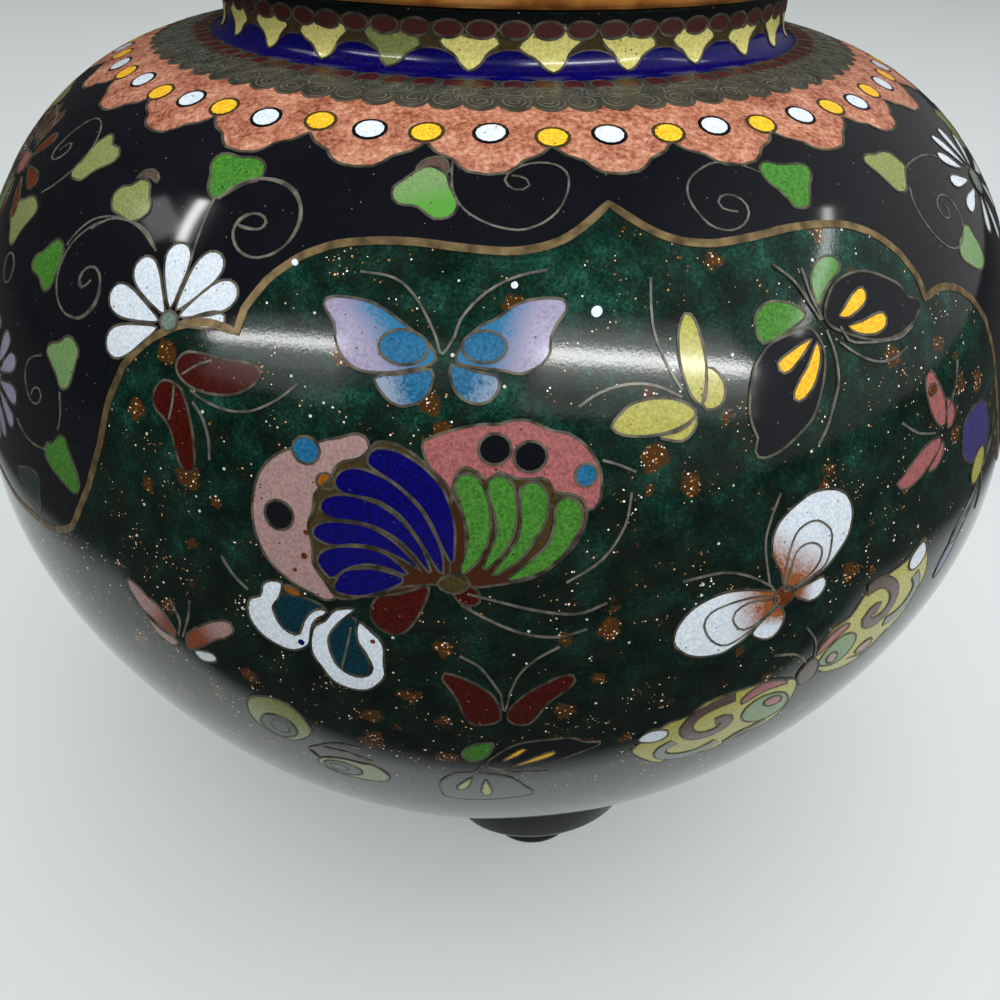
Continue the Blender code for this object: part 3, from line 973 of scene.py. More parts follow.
def makeNeckBands(form):
    bands = startPiece("neckBands", bodySurface)
    ringInlay(bands, level(form["cobaltTop"]), level(form["cobaltEnd"]), "cobaltEnamel", 1, 360, 24)
    ringInlay(bands, level(form["cobaltTop"]), archLine(form), "bronzeEnamel", 2, 648, 16)
    # painted shadow: a black band just under the copper rim, where its overhang casts shade
    ringInlay(bands, level(form["cobaltTop"]), level(form["paintedShadeEnd"]), "blackEnamel", 5, 360, 4)
    scroll = scallopLine(form["cells"], form["scrollEnd"], form["scrollEnd"] + form["scrollDip"])
    ringInlay(bands, level(form["scrollTop"]), scroll, "smokyGreenEnamel", 3, 648, 10)
    finishPiece(bands, "body_enamel")
    leaves = startPiece("neckLeaves", bodySurface)
    for i in range(form["leaves"]):
        azimuth = form["firstLeaf"] + i * 360 / form["leaves"]
        glass = "oliveEnamel" if i == form["leaves"] - 1 else "strawEnamel"
        inlay(leaves, (azimuth, form["leafLevel"]), neckLeaf, glass, 4, turned=8 * sin(i * 2.1),
              size=0.95 + 0.06 * sin(i * 1.3))
    for i in range(form["scallops"]):
        azimuth = i * 360 / form["scallops"]
        inlay(leaves, (azimuth, form["scallopLevel"]), oval(0, 0, *form["scallop"]), "oxbloodEnamel", 6)
    degrees = np.linspace(0, 360, 649)
    ribbon(leaves, np.radians(degrees), scroll(degrees), 4, 0.2, True, "brassWire")
    ribbon(leaves, np.radians(degrees), archLine(form)(degrees), 3, 0.13, True, "brassWire")
    finishPiece(leaves, "body_enamel")
    scrolls = startPiece("wireScrolls", bodySurface)
    pitch = 360 / form["cells"]
    for i in range(form["cells"]):
        azimuth = (i + 0.5) * pitch
        inlay(scrolls, (azimuth, form["cellLevel"]), neckCell, "oxbloodEnamel", 4)
        # each row's level, place, outer and inner radius, first angle, sweep and wire
        rows = ((3.85, azimuth, 1.3, 0.2, 100 * sin(i * 1.9), 860, 0.12),
                (2.3, azimuth - pitch / 2, 1.1, 0.2, 200 + 90 * sin(i * 2.7), -780, 0.11),
                (1.7, azimuth, 0.7, 0.15, 60 * sin(i * 2.2), 600, 0.1))
        for s, place, outer, inner, first, sweep, width in rows:
            wire(scrolls, (place, s), curl(outer, inner, first, sweep), 4, width, smooth=False,
                 finish="rubbedWire")
    finishPiece(scrolls, "body_enamel")


def curl(outer, inner, first, sweep):
    # a wire rolled in on itself, in degrees
    share = np.linspace(0, 1, max(int(abs(sweep) / 36), 8))
    angle = np.radians(first + sweep * share)
    radius = outer + (inner - outer) * share
    return np.stack([radius * np.cos(angle), radius * np.sin(angle)], axis=1)


makeCollar()
makeLappets(lappetForm)
makeNeckBands(neckForm)
print("collar, lappets and neck laid")


# Motifs: fields of glass in wire cells, each set down about its own place in local millimetres.
# A chip is (glass, layer, outline, and from where to where the glass runs into its third colour)

def layMotif(name, motif, at, surface=bodySurface, slot="body_enamel", swap=None, **how):
    piece = startPiece(name, surface)
    for glass, layer, outline, *fade in motif["chips"]:
        glass = (swap or {}).get(glass, glass)
        inlay(piece, at, outline, glass + "Enamel", layer, fade[0] if fade else None, **how)
    for glass, x, y, radius in motif.get("spots", ()):
        inlay(piece, at, oval(x, y, radius, radius), glass + "Enamel", 5, wired=False, **how)
    for glass, layer, line, width in motif.get("scrolls", ()):
        wire(piece, at, line, layer + 1, width + 0.35, **how)
        wire(piece, at, line, layer + 2, width, finish=glass + "Enamel", **how)
    for line in motif["wires"]:
        wire(piece, at, line, motif.get("wireLayer", 4), 0.18, finish="rubbedWire", **how)
    finishPiece(piece, slot)


def lobe(base, tip, width, bend):
    # a petal whose middle line bends to one side
    base, tip = np.array(base, float), np.array(tip, float)
    along = tip - base
    across = np.array([-along[1], along[0]]) / np.hypot(*along)
    outline = []
    for a in np.linspace(0, turn, 19)[:-1]:
        share = (1 - cos(a)) / 2
        half = width / 2 * sin(a) * (0.3 + 0.85 * share)
        outline.append(base + along * share + across * (half + bend * 4 * share * (1 - share)))
    return np.array(outline)


lavenderButterfly = {
    "chips": (
        ("lavender", 2, ((-9, 2.5), (-8.5, 3.1), (-7, 3.2), (-5.5, 3), (-4.2, 2.4), (-3, 1.6), (-1.2, 0.3),
            (-0.9, -0.8), (-3, -1.5), (-5, -1.8), (-6.5, -1.6), (-7.5, -0.8), (-8, 0.3), (-8.1, 1.3)),
            ((-6.4, -0.6), (-3.2, 1.9))),
        ("turquoise", 4, oval(-3.1, 0.1, 1.75, 1.2)),
        ("turquoise", 2, ((-1.1, -1.3), (-1, -2.3), (-1.5, -3.3), (-2.6, -3.9), (-3.7, -3.8), (-4.6, -3),
            (-5, -2.1), (-3, -1.7)), ((-2.2, -2.2), (-4.6, -3.2))),
        ("lavender", 2, ((0.6, -0.7), (0.9, 0.4), (2, 1.7), (3.3, 2.4), (4.3, 3.2), (5.5, 3.7), (7, 3.8),
            (7.9, 3.6), (8, 2.9), (7.4, 2.1), (7, 1), (7, 0), (6.3, -0.9), (5, -1.4), (4, -1.2), (2, -1)),
            ((6.4, 0.8), (2.4, 1.9))),
        ("turquoise", 4, oval(2.5, 0.4, 1.55, 1.1)),
        ("turquoise", 2, ((0.3, -0.9), (0.3, -1.9), (0.9, -3), (2, -3.5), (3, -3.3), (3.6, -2.5),
            (3.5, -1.6), (2, -1.3)), ((0.8, -1.6), (4.2, -3.4))),
    ),
    "spots": (("white", 4.3, 4.7, 0.25), ("white", 10.1, 2.8, 0.4), ("white", -11.4, 5.2, 0.25)),
    "wires": (
        ((-0.9, 1), (-1.7, 2.5), (-2.8, 4), (-4.2, 4.9), (-6.5, 5.1)),
        ((0.4, 1), (0.8, 2.3), (2, 3.8), (3.5, 4.9), (5, 5.5), (6.5, 5.8)),
        ((-0.9, 1), (-0.4, -0.2), (0.4, 1)),
    ),
}

bigButterfly = {
    "chips": (
        ("palePink", 2, ((-4.5, 10.3), (-7, 10.3), (-8.5, 9.8), (-11, 8.8), (-12.6, 7.3), (-13.3, 5.5),
            (-13.5, 3.5), (-13.1, 1.5), (-12.2, 0), (-11, -1), (-9.2, -1.9), (-7, -2), (-4.5, 3))),
        ("pink", 2, ((-0.7, 10.3), (0.1, 11.1), (1.3, 11.6), (3.4, 12.1), (4.5, 12.1), (5.4, 12.4),
            (6.6, 12.4), (8.3, 11.7), (9.4, 11.5), (10.5, 10.8), (11.3, 9.9), (12, 8.4), (11.6, 6),
            (7.5, 6.5), (4, 7.2), (1, 7.5))),
        ("bronze", 4, ((1.6, 0.2), (2.5, 2.2), (2.6, 4.1), (2.3, 5.6), (1.7, 6.8), (1, 7.9), (-0.1, 8.9),
            (-1.3, 9.8), (-2.6, 10.4), (-3.9, 10.4), (-5, 9.2), (-6.6, 8.6), (-7.4, 7.2), (-8.4, 6.2),
            (-8.6, 4.8), (-9, 3.6), (-8.7, 2), (-8.7, 0.6), (-7.8, -0.8), (-6.8, -2), (-4.6, -1.5),
            (-2, -0.9), (0, 0)), ((-6, 5), (1, 0.6))),
        ("bronze", 3, ((1.6, 0.8), (1.7, 4), (1.5, 7), (2, 8.9), (3, 8.9), (3.9, 8.2), (4.8, 8.8),
            (5.8, 8.4), (6.8, 8.3), (8.1, 8.3), (8.8, 7.3), (9.8, 7.2), (10.9, 6.6), (11.1, 5), (10.2, 3),
            (8, 1), (5, 0.2), (3, 0)), ((7, 7), (2, 2))),
        ("cobalt", 6, ((-4.4, 8.9), (-4.1, 9.7), (-3.2, 9.9), (-2, 9.6), (-0.6, 8.8), (0.6, 7.6), (1.2, 6.4),
            (1.6, 5), (1.7, 3.5), (1.7, 1.9), (0.9, 3.5), (0.2, 5), (-0.8, 6.4), (-2.1, 7.5), (-3.3, 8.2))),
        ("cobalt", 7, ((-6.8, 7.2), (-6.3, 8), (-5.3, 8.3), (-4.2, 8.1), (-2.9, 7.6), (-1.7, 6.7),
            (-0.6, 5.5), (0.2, 4.1), (0.8, 2.6), (1, 1), (-0.1, 2.8), (-1.1, 4.3), (-2.2, 5.5), (-3.6, 6.3),
            (-5, 6.5), (-6.3, 6.6))),
        ("cobalt", 8, ((-7.9, 5.1), (-7.6, 5.8), (-6.5, 6.2), (-5.1, 6.2), (-3.7, 5.8), (-2.5, 5.1),
            (-1.3, 3.9), (-0.5, 2.6), (0.2, 1), (-1.3, 2.8), (-2.6, 3.8), (-4, 4.4), (-5.6, 4.6),
            (-7.1, 4.6))),
        ("cobalt", 9, ((-8.5, 3), (-8.2, 3.7), (-7.1, 4.1), (-5.7, 4.2), (-4.3, 4), (-3, 3.4), (-1.9, 2.5),
            (-0.7, 1.1), (-1.6, 1.9), (-2.9, 2.5), (-4.1, 2.8), (-5.6, 2.8), (-7.2, 2.5))),
        ("cobalt", 10, ((-8.2, 0.9), (-7.8, 1.7), (-6.7, 2.2), (-5.3, 2.4), (-3.9, 2.3), (-2.7, 1.8),
            (-1.6, 0.7), (-2.9, 1.2), (-4.2, 1.4), (-5.5, 1.1), (-6.5, 0.5), (-7.3, -0.2))),
        ("cobalt", 11, ((-7, -1.2), (-6.7, -0.3), (-6.1, 0.4), (-5, 0.7), (-3.9, 0.8), (-2.7, 0.6),
            (-1.9, 0.3), (-2.5, -0.2), (-3.9, -0.9), (-5.4, -1.4))),
        ("leafGreen", 6, ((1.8, 7.7), (2.1, 8.3), (2.8, 8.5), (3.3, 8.1), (3.8, 7.2), (4.1, 5.9), (4.2, 4.5),
            (3.9, 3.1), (3.2, 1.9), (2.4, 1), (2.9, 3.6), (2.7, 5), (2.3, 6.4))),
        ("leafGreen", 7, ((4.1, 7.9), (4.5, 8.4), (5.2, 8.3), (5.7, 7.8), (5.9, 6.8), (6, 5.5), (5.9, 4.4),
            (5.4, 3.2), (4.6, 2.1), (4, 1.4), (4.8, 3.9), (4.8, 5.4), (4.3, 6.8))),
        ("leafGreen", 8, ((6.4, 7.5), (6.8, 7.9), (7.5, 7.9), (8, 7.4), (8.2, 6.5), (8.1, 5.4), (7.5, 4.1),
            (6.7, 2.7), (5.6, 1.7), (4.7, 1), (6.3, 3.6), (6.6, 4.9), (6.5, 6.2))),
        ("leafGreen", 9, ((9, 6.2), (9.3, 6.8), (9.8, 6.8), (10.5, 6.3), (10.7, 5.3), (10.4, 4.3), (9.7, 3),
            (8.6, 1.8), (7.3, 1.1), (5.8, 0.6), (8.2, 2.9), (8.8, 4), (9, 5.1))),
        ("bronze", 12, ((0.6, 0.2), (1.4, 0.9), (2.4, 0.9), (3, 0.3), (2.4, -0.4), (1.4, -0.5))),
        ("darkRed", 3, ((0, -0.3), (-1, -0.2), (-2.8, -0.7), (-4.2, -2), (-4.3, -3.6), (-3, -4.6),
            (-1.8, -4.3), (-0.8, -2.8), (-0.2, -1.3))),
        ("darkRed", 3, ((1.7, -0.2), (2.3, -1.4), (3.3, -1.6), (3.8, -1), (3.2, 0))),
        ("turquoise", 4, oval(-9.1, 9.2, 1.05, 1)),
        ("orange", 4, oval(-7.6, 7.1, 0.7, 0.65)),
        ("black", 4, oval(-11.3, 4, 1.15, 1.15)),
        ("black", 5, oval(4.4, 10.4, 1.15, 1.1)),
        ("black", 5, oval(6.9, 9.9, 1.15, 1.1)),
        ("turquoise", 4, oval(10.9, 8.5, 0.8, 0.85)),
    ),
    "spots": (("rust", -9.4, 1.1, 0.25), ("rust", -9.2, 3, 0.2), ("rust", -10.2, -0.2, 0.15)),
    "wires": (
        ((12, 9.5), (13.2, 9.1), (14.5, 8.5)),
        ((14.3, 7), (14, 4.5), (12.5, 2), (10, 0.3)),
        ((2.8, -0.6), (5, -1.2), (8, -2), (11, -2.4), (13.2, -1.6)),
        ((2.4, -1.6), (4.4, -2.8), (7, -4), (9.6, -4.4), (11.8, -3.8)),
    ),
}


def grown(outline, amount):
    # an outline moved out square to itself
    outline = np.array(outline, float)
    along = np.roll(outline, -1, axis=0) - np.roll(outline, 1, axis=0)
    along /= np.linalg.norm(along, axis=1)[:, None]
    area = np.sum(outline[:, 0] * np.roll(outline[:, 1], -1) - outline[:, 1] * np.roll(outline[:, 0], -1))
    return outline + amount * np.sign(area) * np.stack([along[:, 1], -along[:, 0]], axis=1)


bigButterfly["chips"] = tuple(
    (glass, layer, grown(outline, 0.15) if glass in ("cobalt", "leafGreen") else outline, *fade)
    for glass, layer, outline, *fade in bigButterfly["chips"])

crescentButterfly = {
    "chips": (
        ("teal", 2, ((-2.2, 2.6), (-2.2, 0.4), (-0.5, -0.6), (0.4, 0.4), (1.2, 1.4), (2, 2.4), (0.4, 3),
            (-1.3, 3))),
        ("white", 4, ((-1.4, 3.9), (-2.2, 4), (-3, 3.5), (-3.3, 2.4), (-4.3, 1.8), (-4.5, 0.3), (-3.7, -1.1),
            (-2.4, -1.9), (-1, -2.2), (0.1, -1.7), (0.6, -1.1), (0.8, 0.2), (1.2, 1.2), (2.1, 1.9), (2, 2.3),
            (1.2, 2.1), (0.4, 1.2), (-0.1, -0.2), (-0.5, -0.6), (-1.4, -0.3), (-2, 0.5), (-2.3, 1.6),
            (-1.7, 2.6))),
        ("orange", 4, oval(-0.6, 3.4, 0.8, 0.35, -15)),
        ("teal", 2, ((2.6, 1.6), (2, -0.4), (2.4, -2.6), (3.6, -3.8), (5, -3.6), (5.4, -2.4), (4.8, -0.8),
            (4.4, 0.4), (4.4, 1.8), (3.6, 2))),
        ("white", 4, ((4.3, 2.7), (2.8, 2.4), (2, 1.3), (1, 0.4), (0.7, -1.8), (1.5, -3.4), (2.4, -4.7),
            (3.9, -5.2), (5.3, -4.9), (6.5, -3.4), (6.5, -2), (6.5, -0.2), (5.6, 0.9), (4.8, 1.6),
            (4.5, 1.3), (4.5, -0.1), (5.1, -1.2), (5.6, -2.6), (5.1, -3.5), (4, -3.7), (2.8, -2.9),
            (2.3, -1.7), (2.2, -0.2), (3, 1.2))),
    ),
    "spots": (("cobalt", -0.1, -1.2, 0.28), ("rust", 5.7, 0, 0.2), ("rust", 1.5, 1.4, 0.15)),
    "wires": (((-4.4, 2.6), (-5.6, 3.6), (-6.6, 5)), ((3.1, -3), (3.6, -1), (4, 1))),
}

darkRedButterfly = {
    "chips": (
        ("darkRed", 2, ((-1.8, 2.2), (-1.2, 2.9), (0, 3.1), (2.5, 3.1), (4.5, 3.1), (5.3, 2.7), (5.1, 1.9),
            (4, 1), (2.5, 0.5), (0.5, 0.4), (-1, 0.8), (-1.8, 1.5))),
        ("darkRed", 2, ((-3.5, -0.2), (-2.8, 0.5), (-1.5, 0.4), (-0.8, -0.3), (-0.2, -1.5), (0.3, -3),
            (0.6, -4.8), (0.4, -5.8), (-0.5, -5.7), (-1.2, -4.5), (-1.7, -3.2), (-2.5, -2.3), (-3.4, -1.8),
            (-3.7, -1))),
    ),
    "wires": (
        ((-1.2, 1.3), (0, 2.2), (1.2, 2.8)),
        ((-1.8, 0.3), (-1.8, -1), (-2, -2.3)),
        ((-0.3, 0.3), (1, -0.2), (3, -0.5), (5, -0.2), (7, 1), (8.3, 2.3)),
        ((0, -0.5), (1, -1.5), (1.7, -3), (1.9, -4.5)),
    ),
}

yellowButterfly = {
    "chips": (
        ("paleYellow", 2, ((-0.2, 6.3), (0.4, 6), (0.8, 4.5), (1, 2.8), (0.9, 1), (0.5, -0.2), (-0.3, 0.5),
            (-0.8, 2), (-1, 3.5), (-0.8, 5.2))),
        ("paleYellow", 3, ((1, 2.4), (1.8, 2), (2.3, 1), (2.2, 0), (1.5, -0.6), (0.5, -0.3), (0.9, 1.3))),
        ("paleYellow", 2, ((-6.3, -1.2), (-5.5, -0.2), (-4.5, 0.4), (-3, 0.6), (-1.5, 0.4), (-0.5, -0.1),
            (0, -0.8), (-1, -1.5), (-2.5, -1.9), (-4, -2), (-5.5, -1.8))),
        ("paleYellow", 3, ((0, -1), (-0.3, -2), (-1.2, -2.6), (-2.2, -2.4), (-3, -2.1), (-1.2, -1.8))),
    ),
    "wires": (
        ((-1, 0.5), (-3, 1.5), (-5, 1.7), (-7, 1.2), (-8.5, 0.3)),
        ((-1, 1), (-2, 3), (-2.6, 5), (-2.6, 7), (-2.3, 9)),
    ),
}

blackButterfly = {
    "chips": (
        ("leafGreen", 2, ((-4.1, 2.5), (-4.5, 3.3), (-4.4, 4.3), (-3.7, 5.1), (-2.6, 5.4), (-1.3, 5.1),
            (-0.4, 4.6), (0, 3.9), (-1.5, 3.2), (-2.9, 2.7))),
        ("leafGreen", 2, ((1.2, 5.1), (1.1, 6.1), (1.6, 7.2), (2.7, 7.9), (4, 7.8), (4.4, 7.1), (3.7, 6.4),
            (2.4, 5.6), (1.3, 4.4))),
        ("black", 4, ((-0.1, 3.1), (-1.5, 2.9), (-3.3, 2.5), (-4.3, 1.8), (-5.2, 0.8), (-5.7, -0.6),
            (-6, -2.1), (-5.8, -3.4), (-5.5, -4.2), (-5.8, -5.1), (-5.3, -5.7), (-3.8, -5.5), (-2.1, -4.6),
            (-0.6, -3.5), (0.3, -1.9), (0.9, -0.3), (1.1, 1.2), (0.6, 2.5))),
        ("black", 4, ((1.8, 4), (3, 5.6), (4.5, 6.2), (6.5, 6.2), (8.5, 5.4), (10.3, 4.3), (11, 3.3),
            (12.5, 2.6), (12, 1.8), (11, 1.2), (9, 0.7), (6.5, 0.9), (4, 1.8), (2, 2.9))),
        ("yellow", 6, ((0.1, 2.2), (-0.8, 1.3), (-1.8, 0.5), (-2.6, 0.1), (-3.2, 0.5), (-3.1, 1.1),
            (-2, 1.6), (-1, 2))),
        ("yellow", 6, ((0.5, 1.9), (0.7, 0.9), (0.3, -0.2), (-0.3, -1.2), (-1.3, -2), (-2, -2), (-2.2, -1.5),
            (-1.5, -0.5), (-0.7, 0.3))),
        ("yellow", 6, ((3, 3.4), (3.9, 3.1), (5.2, 3.5), (6.1, 4), (6.2, 4.7), (5.7, 5.1), (4.7, 4.7),
            (3.9, 4.1))),
        ("yellow", 6, ((3.7, 2.5), (4.6, 1.8), (6.1, 1.4), (7.4, 1.5), (8, 2.1), (7.6, 2.8), (6.5, 2.8),
            (5.2, 2.6))),
    ),
    "wireLayer": 7,
    "wires": (
        ((3, 2.6), (3.7, 1.4), (5.6, 0.9), (7.8, 0.6), (9.4, 0.5), (11, 1)),
        ((2.7, 1.5), (4.1, 0.4), (6, -0.6), (8, -0.9), (10, -0.4)),
        ((1.6, 2.6), (2.1, 0.6), (2.1, -1.4), (1.4, -3), (0.8, -4.3), (-0.2, -5.7)),
        ((1.2, 3.4), (0.4, 5), (-0.4, 6.6), (-1.8, 8)),
        ((1.4, 3.4), (0.8, 5.4), (0.6, 7.4)),
    ),
}

whiteButterfly = {
    "chips": (
        ("white", 2, ((0.4, 1.6), (-0.5, 3.4), (-0.5, 5), (0.2, 6.2), (1.5, 7.1), (3, 7.7), (5, 7.5),
            (6.5, 6.6), (7.2, 5), (7, 3.2), (6, 1.8), (4.7, 0.6), (3, 0), (1.2, -0.2)), ((4.4, 4.2),
            (1.2, -0.2))),
        ("white", 2, ((-3, 0.8), (-5, 0.8), (-7, 0), (-8.2, -1.5), (-8.4, -3), (-7.3, -4.3), (-5.8, -4.9),
            (-4, -4.9), (-2.3, -4), (-1, -2.8), (0.2, -1.4), (0.8, -0.4), (-0.6, 0.2)), ((-5, -1.8),
            (0.4, -0.8))),
        ("white", 3, ((2.3, -0.5), (3.5, -0.2), (4.8, 0), (5.2, -0.8), (4.7, -1.7), (3.8, -2), (2.8, -1.5),
            (2, -1)), ((4.6, -0.8), (2, -0.9))),
        ("white", 3, ((0.6, -1.6), (1.2, -2.3), (1.3, -3.3), (0.7, -4.4), (-0.2, -4.6), (-1.2, -4.1),
            (-1.6, -3.6), (-0.6, -2.4)), ((0, -4), (0.5, -1.8))),
        ("rust", 4, ((0.1, -0.3), (0.7, 0.2), (1.4, 0.1), (2, -0.6), (1.7, -1.3), (0.9, -1.7),
            (0.2, -1.2))),
    ),
    "wires": (
        pointsOf((1, -0.3), (0.9, 1.9), (1.2, 3.7), (1.9, 5), (3.5, 5.3), (5, 4.1), (5.2, 2.7), (4.9, 1.2),
            (3.7, 0.4), (2, -0.1)),
        pointsOf((1.3, -0.1), (1.5, 2.3), (2, 3.3), (3.1, 3.5), (4.2, 2.8), (4.2, 1.6), (3.4, 0.7), (2, 0)),
        pointsOf((0.4, -0.5), (-1.8, -0.1), (-3.9, -0.2), (-5.5, -0.7), (-6, -1.8), (-5.2, -3.4),
            (-3.8, -4.2), (-2, -3.4), (-0.6, -2.3), (0.5, -1.1)),
        pointsOf((0.2, -0.8), (-0.9, -0.6), (-2.2, -0.5), (-3.3, -1), (-3.5, -1.9), (-2.6, -3), (-1.3, -2.7),
            (0, -1.6)),
        ((-0.2, 0.3), (-0.5, 0.7), (-1.2, 4.3), (-0.8, 6.4), (0, 8.3)),
        ((0, 0), (-0.3, 0.5), (-2.6, 2), (-4.9, 2.7), (-8, 2.5)),
    ),
}

pinkButterfly = {
    "chips": (
        ("pink", 2, ((-2.1, 3.5), (-1.9, 4.6), (-1.2, 5), (-0.5, 4.2), (0.2, 3), (0.7, 1.8), (0.8, 0.5),
            (0.5, -0.2), (-0.3, 0), (-1.2, 1), (-1.8, 2.2))),
        ("pink", 3, ((0.9, 2), (1.7, 1.5), (2.2, 0.5), (1.8, -0.4), (1, -0.6), (0.8, 0.5))),
        ("pink", 2, ((-6.2, -3.2), (-5.2, -2.5), (-3.5, -1.5), (-2, -1), (-0.5, -0.9), (0, -1.3),
            (-0.5, -2.1), (-1.8, -3), (-3.3, -3.7), (-5, -4))),
        ("pink", 3, ((0.2, -1.4), (0.4, -2.4), (-0.3, -3.3), (-1.5, -3.6), (-2, -3.3), (-0.8, -2.4))),
        ("rust", 5, oval(-1.2, 3.4, 0.55, 0.45)),
    ),
    "wires": (((0.6, 0.6), (2.4, 2.4), (3.2, 4.6)), ((-1, -0.4), (-3.5, 0.4), (-5.5, 1.8))),
}

bigYellowButterfly = {
    "chips": (
        ("paleYellow", 2, ((-15.1, -3.8), (-14.9, -5), (-13.7, -6.4), (-11.8, -8.1), (-10.2, -7.9),
            (-6.6, -8.1), (-4.5, -6.9), (-1.6, -6.1), (-0.3, -4.2), (-0.2, -1.5), (-0.6, 0.4), (-1.8, 1.3),
            (-4.6, 2.1), (-6.8, 1.9), (-9.8, 1.5), (-11.4, -0.1), (-13.1, -0.8))),
        ("paleYellow", 2, ((0.3, 2.7), (0.6, 4.6), (1.7, 5.9), (3.4, 6.4), (4, 7.2), (5.4, 8.8), (8, 9.3),
            (10.1, 9.7), (12.2, 10.9), (13.4, 8.9), (14.1, 6.5), (13.4, 4.9), (12.4, 2.8), (10.5, 1.3),
            (8.7, -0.1), (6.4, -0.9), (3.3, -0.3), (1.6, 0.8))),
        ("sageGreen", 4, ((-5.4, -2.6), (-5.3, -0.9), (-3.9, 0), (-1.9, -0.5), (-0.7, -1.9), (-0.6, -3.6),
            (-2.2, -4.7), (-4.2, -4))),
        ("pink", 6, oval(-2.6, -1.4, 1.1, 0.7, -25)),
        ("sageGreen", 4, ((1.2, 1.8), (1.8, 3.7), (3.4, 4.5), (5, 3.7), (5.1, 2), (3.6, 0.8))),
        ("palePink", 6, oval(2.7, 2, 0.8, 0.6, -50)),
        ("palePink", 5, oval(7.2, 1.1, 1.1, 0.7, 15)),
        ("white", 5, ((-15.2, -2.4), (-14.4, -1.3), (-12.9, -1.5), (-12.5, -2.5), (-13.2, -3.2),
            (-14.4, -3.1))),
        ("white", 5, ((10.4, 8.7), (10.5, 9.8), (12, 10.7), (12.9, 9.3), (12.3, 8.3), (11.2, 8.1))),
        ("pink", 5, ((-6.2, -0.2), (-6.2, 1), (-4.8, 2), (-2.8, 1.7), (-1.8, 0.9), (-3, 0.9), (-4.6, 0.7))),
        ("pink", 5, ((0.4, 3.2), (0.7, 4.4), (1.7, 5.5), (3, 5.9), (3.6, 5.4), (2.4, 4.7), (1.4, 3.9))),
        ("mauve", 5, ((-0.9, 1.4), (-0.5, 2.6), (0.3, 3), (1.2, 1.9), (1.3, 0.4), (0.4, -0.6),
            (-0.5, 0.2))),
    ),
    "scrolls": (
        ("mauve", 4, ((-7.2, 1.2), (-9.1, 0.7), (-10.6, -0.4), (-10.9, -2.2), (-9.6, -3.8), (-7.8, -3.9),
            (-6.9, -2.8), (-7.3, -1.8), (-8.2, -2)), 1.0),
        ("mauve", 4, ((4.9, 8.6), (6.9, 8.7), (8.7, 7.3), (9.1, 5.6), (8, 4.4), (6.4, 4.4), (5.7, 5.3),
            (6.4, 6), (7.2, 5.8)), 0.95),
        ("greyGlass", 4, ((-11.4, -4.1), (-12.3, -5), (-12, -6.3), (-10.5, -7.3), (-8.2, -7.4),
            (-6.6, -6.2)), 0.9),
        ("greyGlass", 4, ((11.9, 7.3), (12.7, 5.8), (12, 4.2), (10.6, 3.4), (9, 3.3)), 0.8),
        ("mauve", 4, ((-5.4, -7.2), (-4.4, -6), (-3.2, -5.6), (-2, -4.8)), 0.6),
    ),
    "wires": (
        ((-0.3, 2.6), (-2, 4.4), (-4.5, 5.2)),
        ((0.3, 3), (-0.2, 5.2), (-1.6, 7.2)),
        ((5.4, 0.4), (8, -0.2), (10.4, 1.6)),
    ),
}

palePinkButterfly = {
    "chips": (
        ("palePink", 2, ((-6.5, 2), (-6, 2.3), (-4.5, 1.5), (-3, 0.6), (-2.2, -0.5), (-1.7, -1.6),
            (-2.5, -1.9), (-4, -1), (-5.3, -0.2), (-6.2, 1)), ((-4.5, 1), (-2, -1.4))),
        ("palePink", 2, ((-4.8, -1), (-3.5, -1.8), (-1.9, -2.2), (-1.9, -3), (-2.8, -3.2), (-3.9, -2.7),
            (-4.5, -1.9))),
        ("palePink", 2, ((-0.8, -2.6), (-0.5, -1.2), (0.4, -0.2), (1.7, 0.8), (3.3, 1.7), (4.2, 1.6),
            (4.4, 0.9), (3.6, 0), (2.4, -0.6), (1.2, -1.7), (0, -2.6), (-0.7, -3)), ((3.4, 1.2),
            (0.4, -1.6))),
        ("white", 2, ((0, -2.7), (1.5, -2.3), (2.2, -2.6), (1.9, -3.3), (0.7, -3.7), (0, -3.3))),
    ),
    "wires": (((-1.4, -1.6), (-1, 0.2), (-1.8, 2)), ((-1, -1.6), (0, 0.8), (0.4, 2.6))),
}

smallRedButterfly = {
    "chips": (
        ("darkRed", 2, ((-4.7, 3), (-3.5, 2.7), (-2.2, 2), (-1.2, 1.2), (-0.6, 0.2), (-0.3, -1), (-0.3, -2),
            (-1, -2.6), (-2.2, -2.8), (-2.9, -2.3), (-3.3, -1.2), (-3.6, 0), (-4.2, 1.3), (-4.8, 2.3))),
        ("darkRed", 2, ((0.3, -2), (0.3, -1), (0.8, 0), (1.8, 1.2), (3.2, 2.2), (4.6, 2.9), (5.4, 2.6),
            (5.1, 1.7), (4.2, 0.8), (3.3, -0.2), (2.7, -1.5), (2, -2.6), (1, -2.7))),
    ),
    "wires": (
        ((-0.3, 1), (-1, 2.3), (-2, 3.8), (-3.5, 4.8)),
        ((0.4, 1.2), (1, 3), (2.2, 4.5), (4, 5.7)),
        ((-0.3, 1), (0, -1), (0.4, 1.2)),
    ),
}

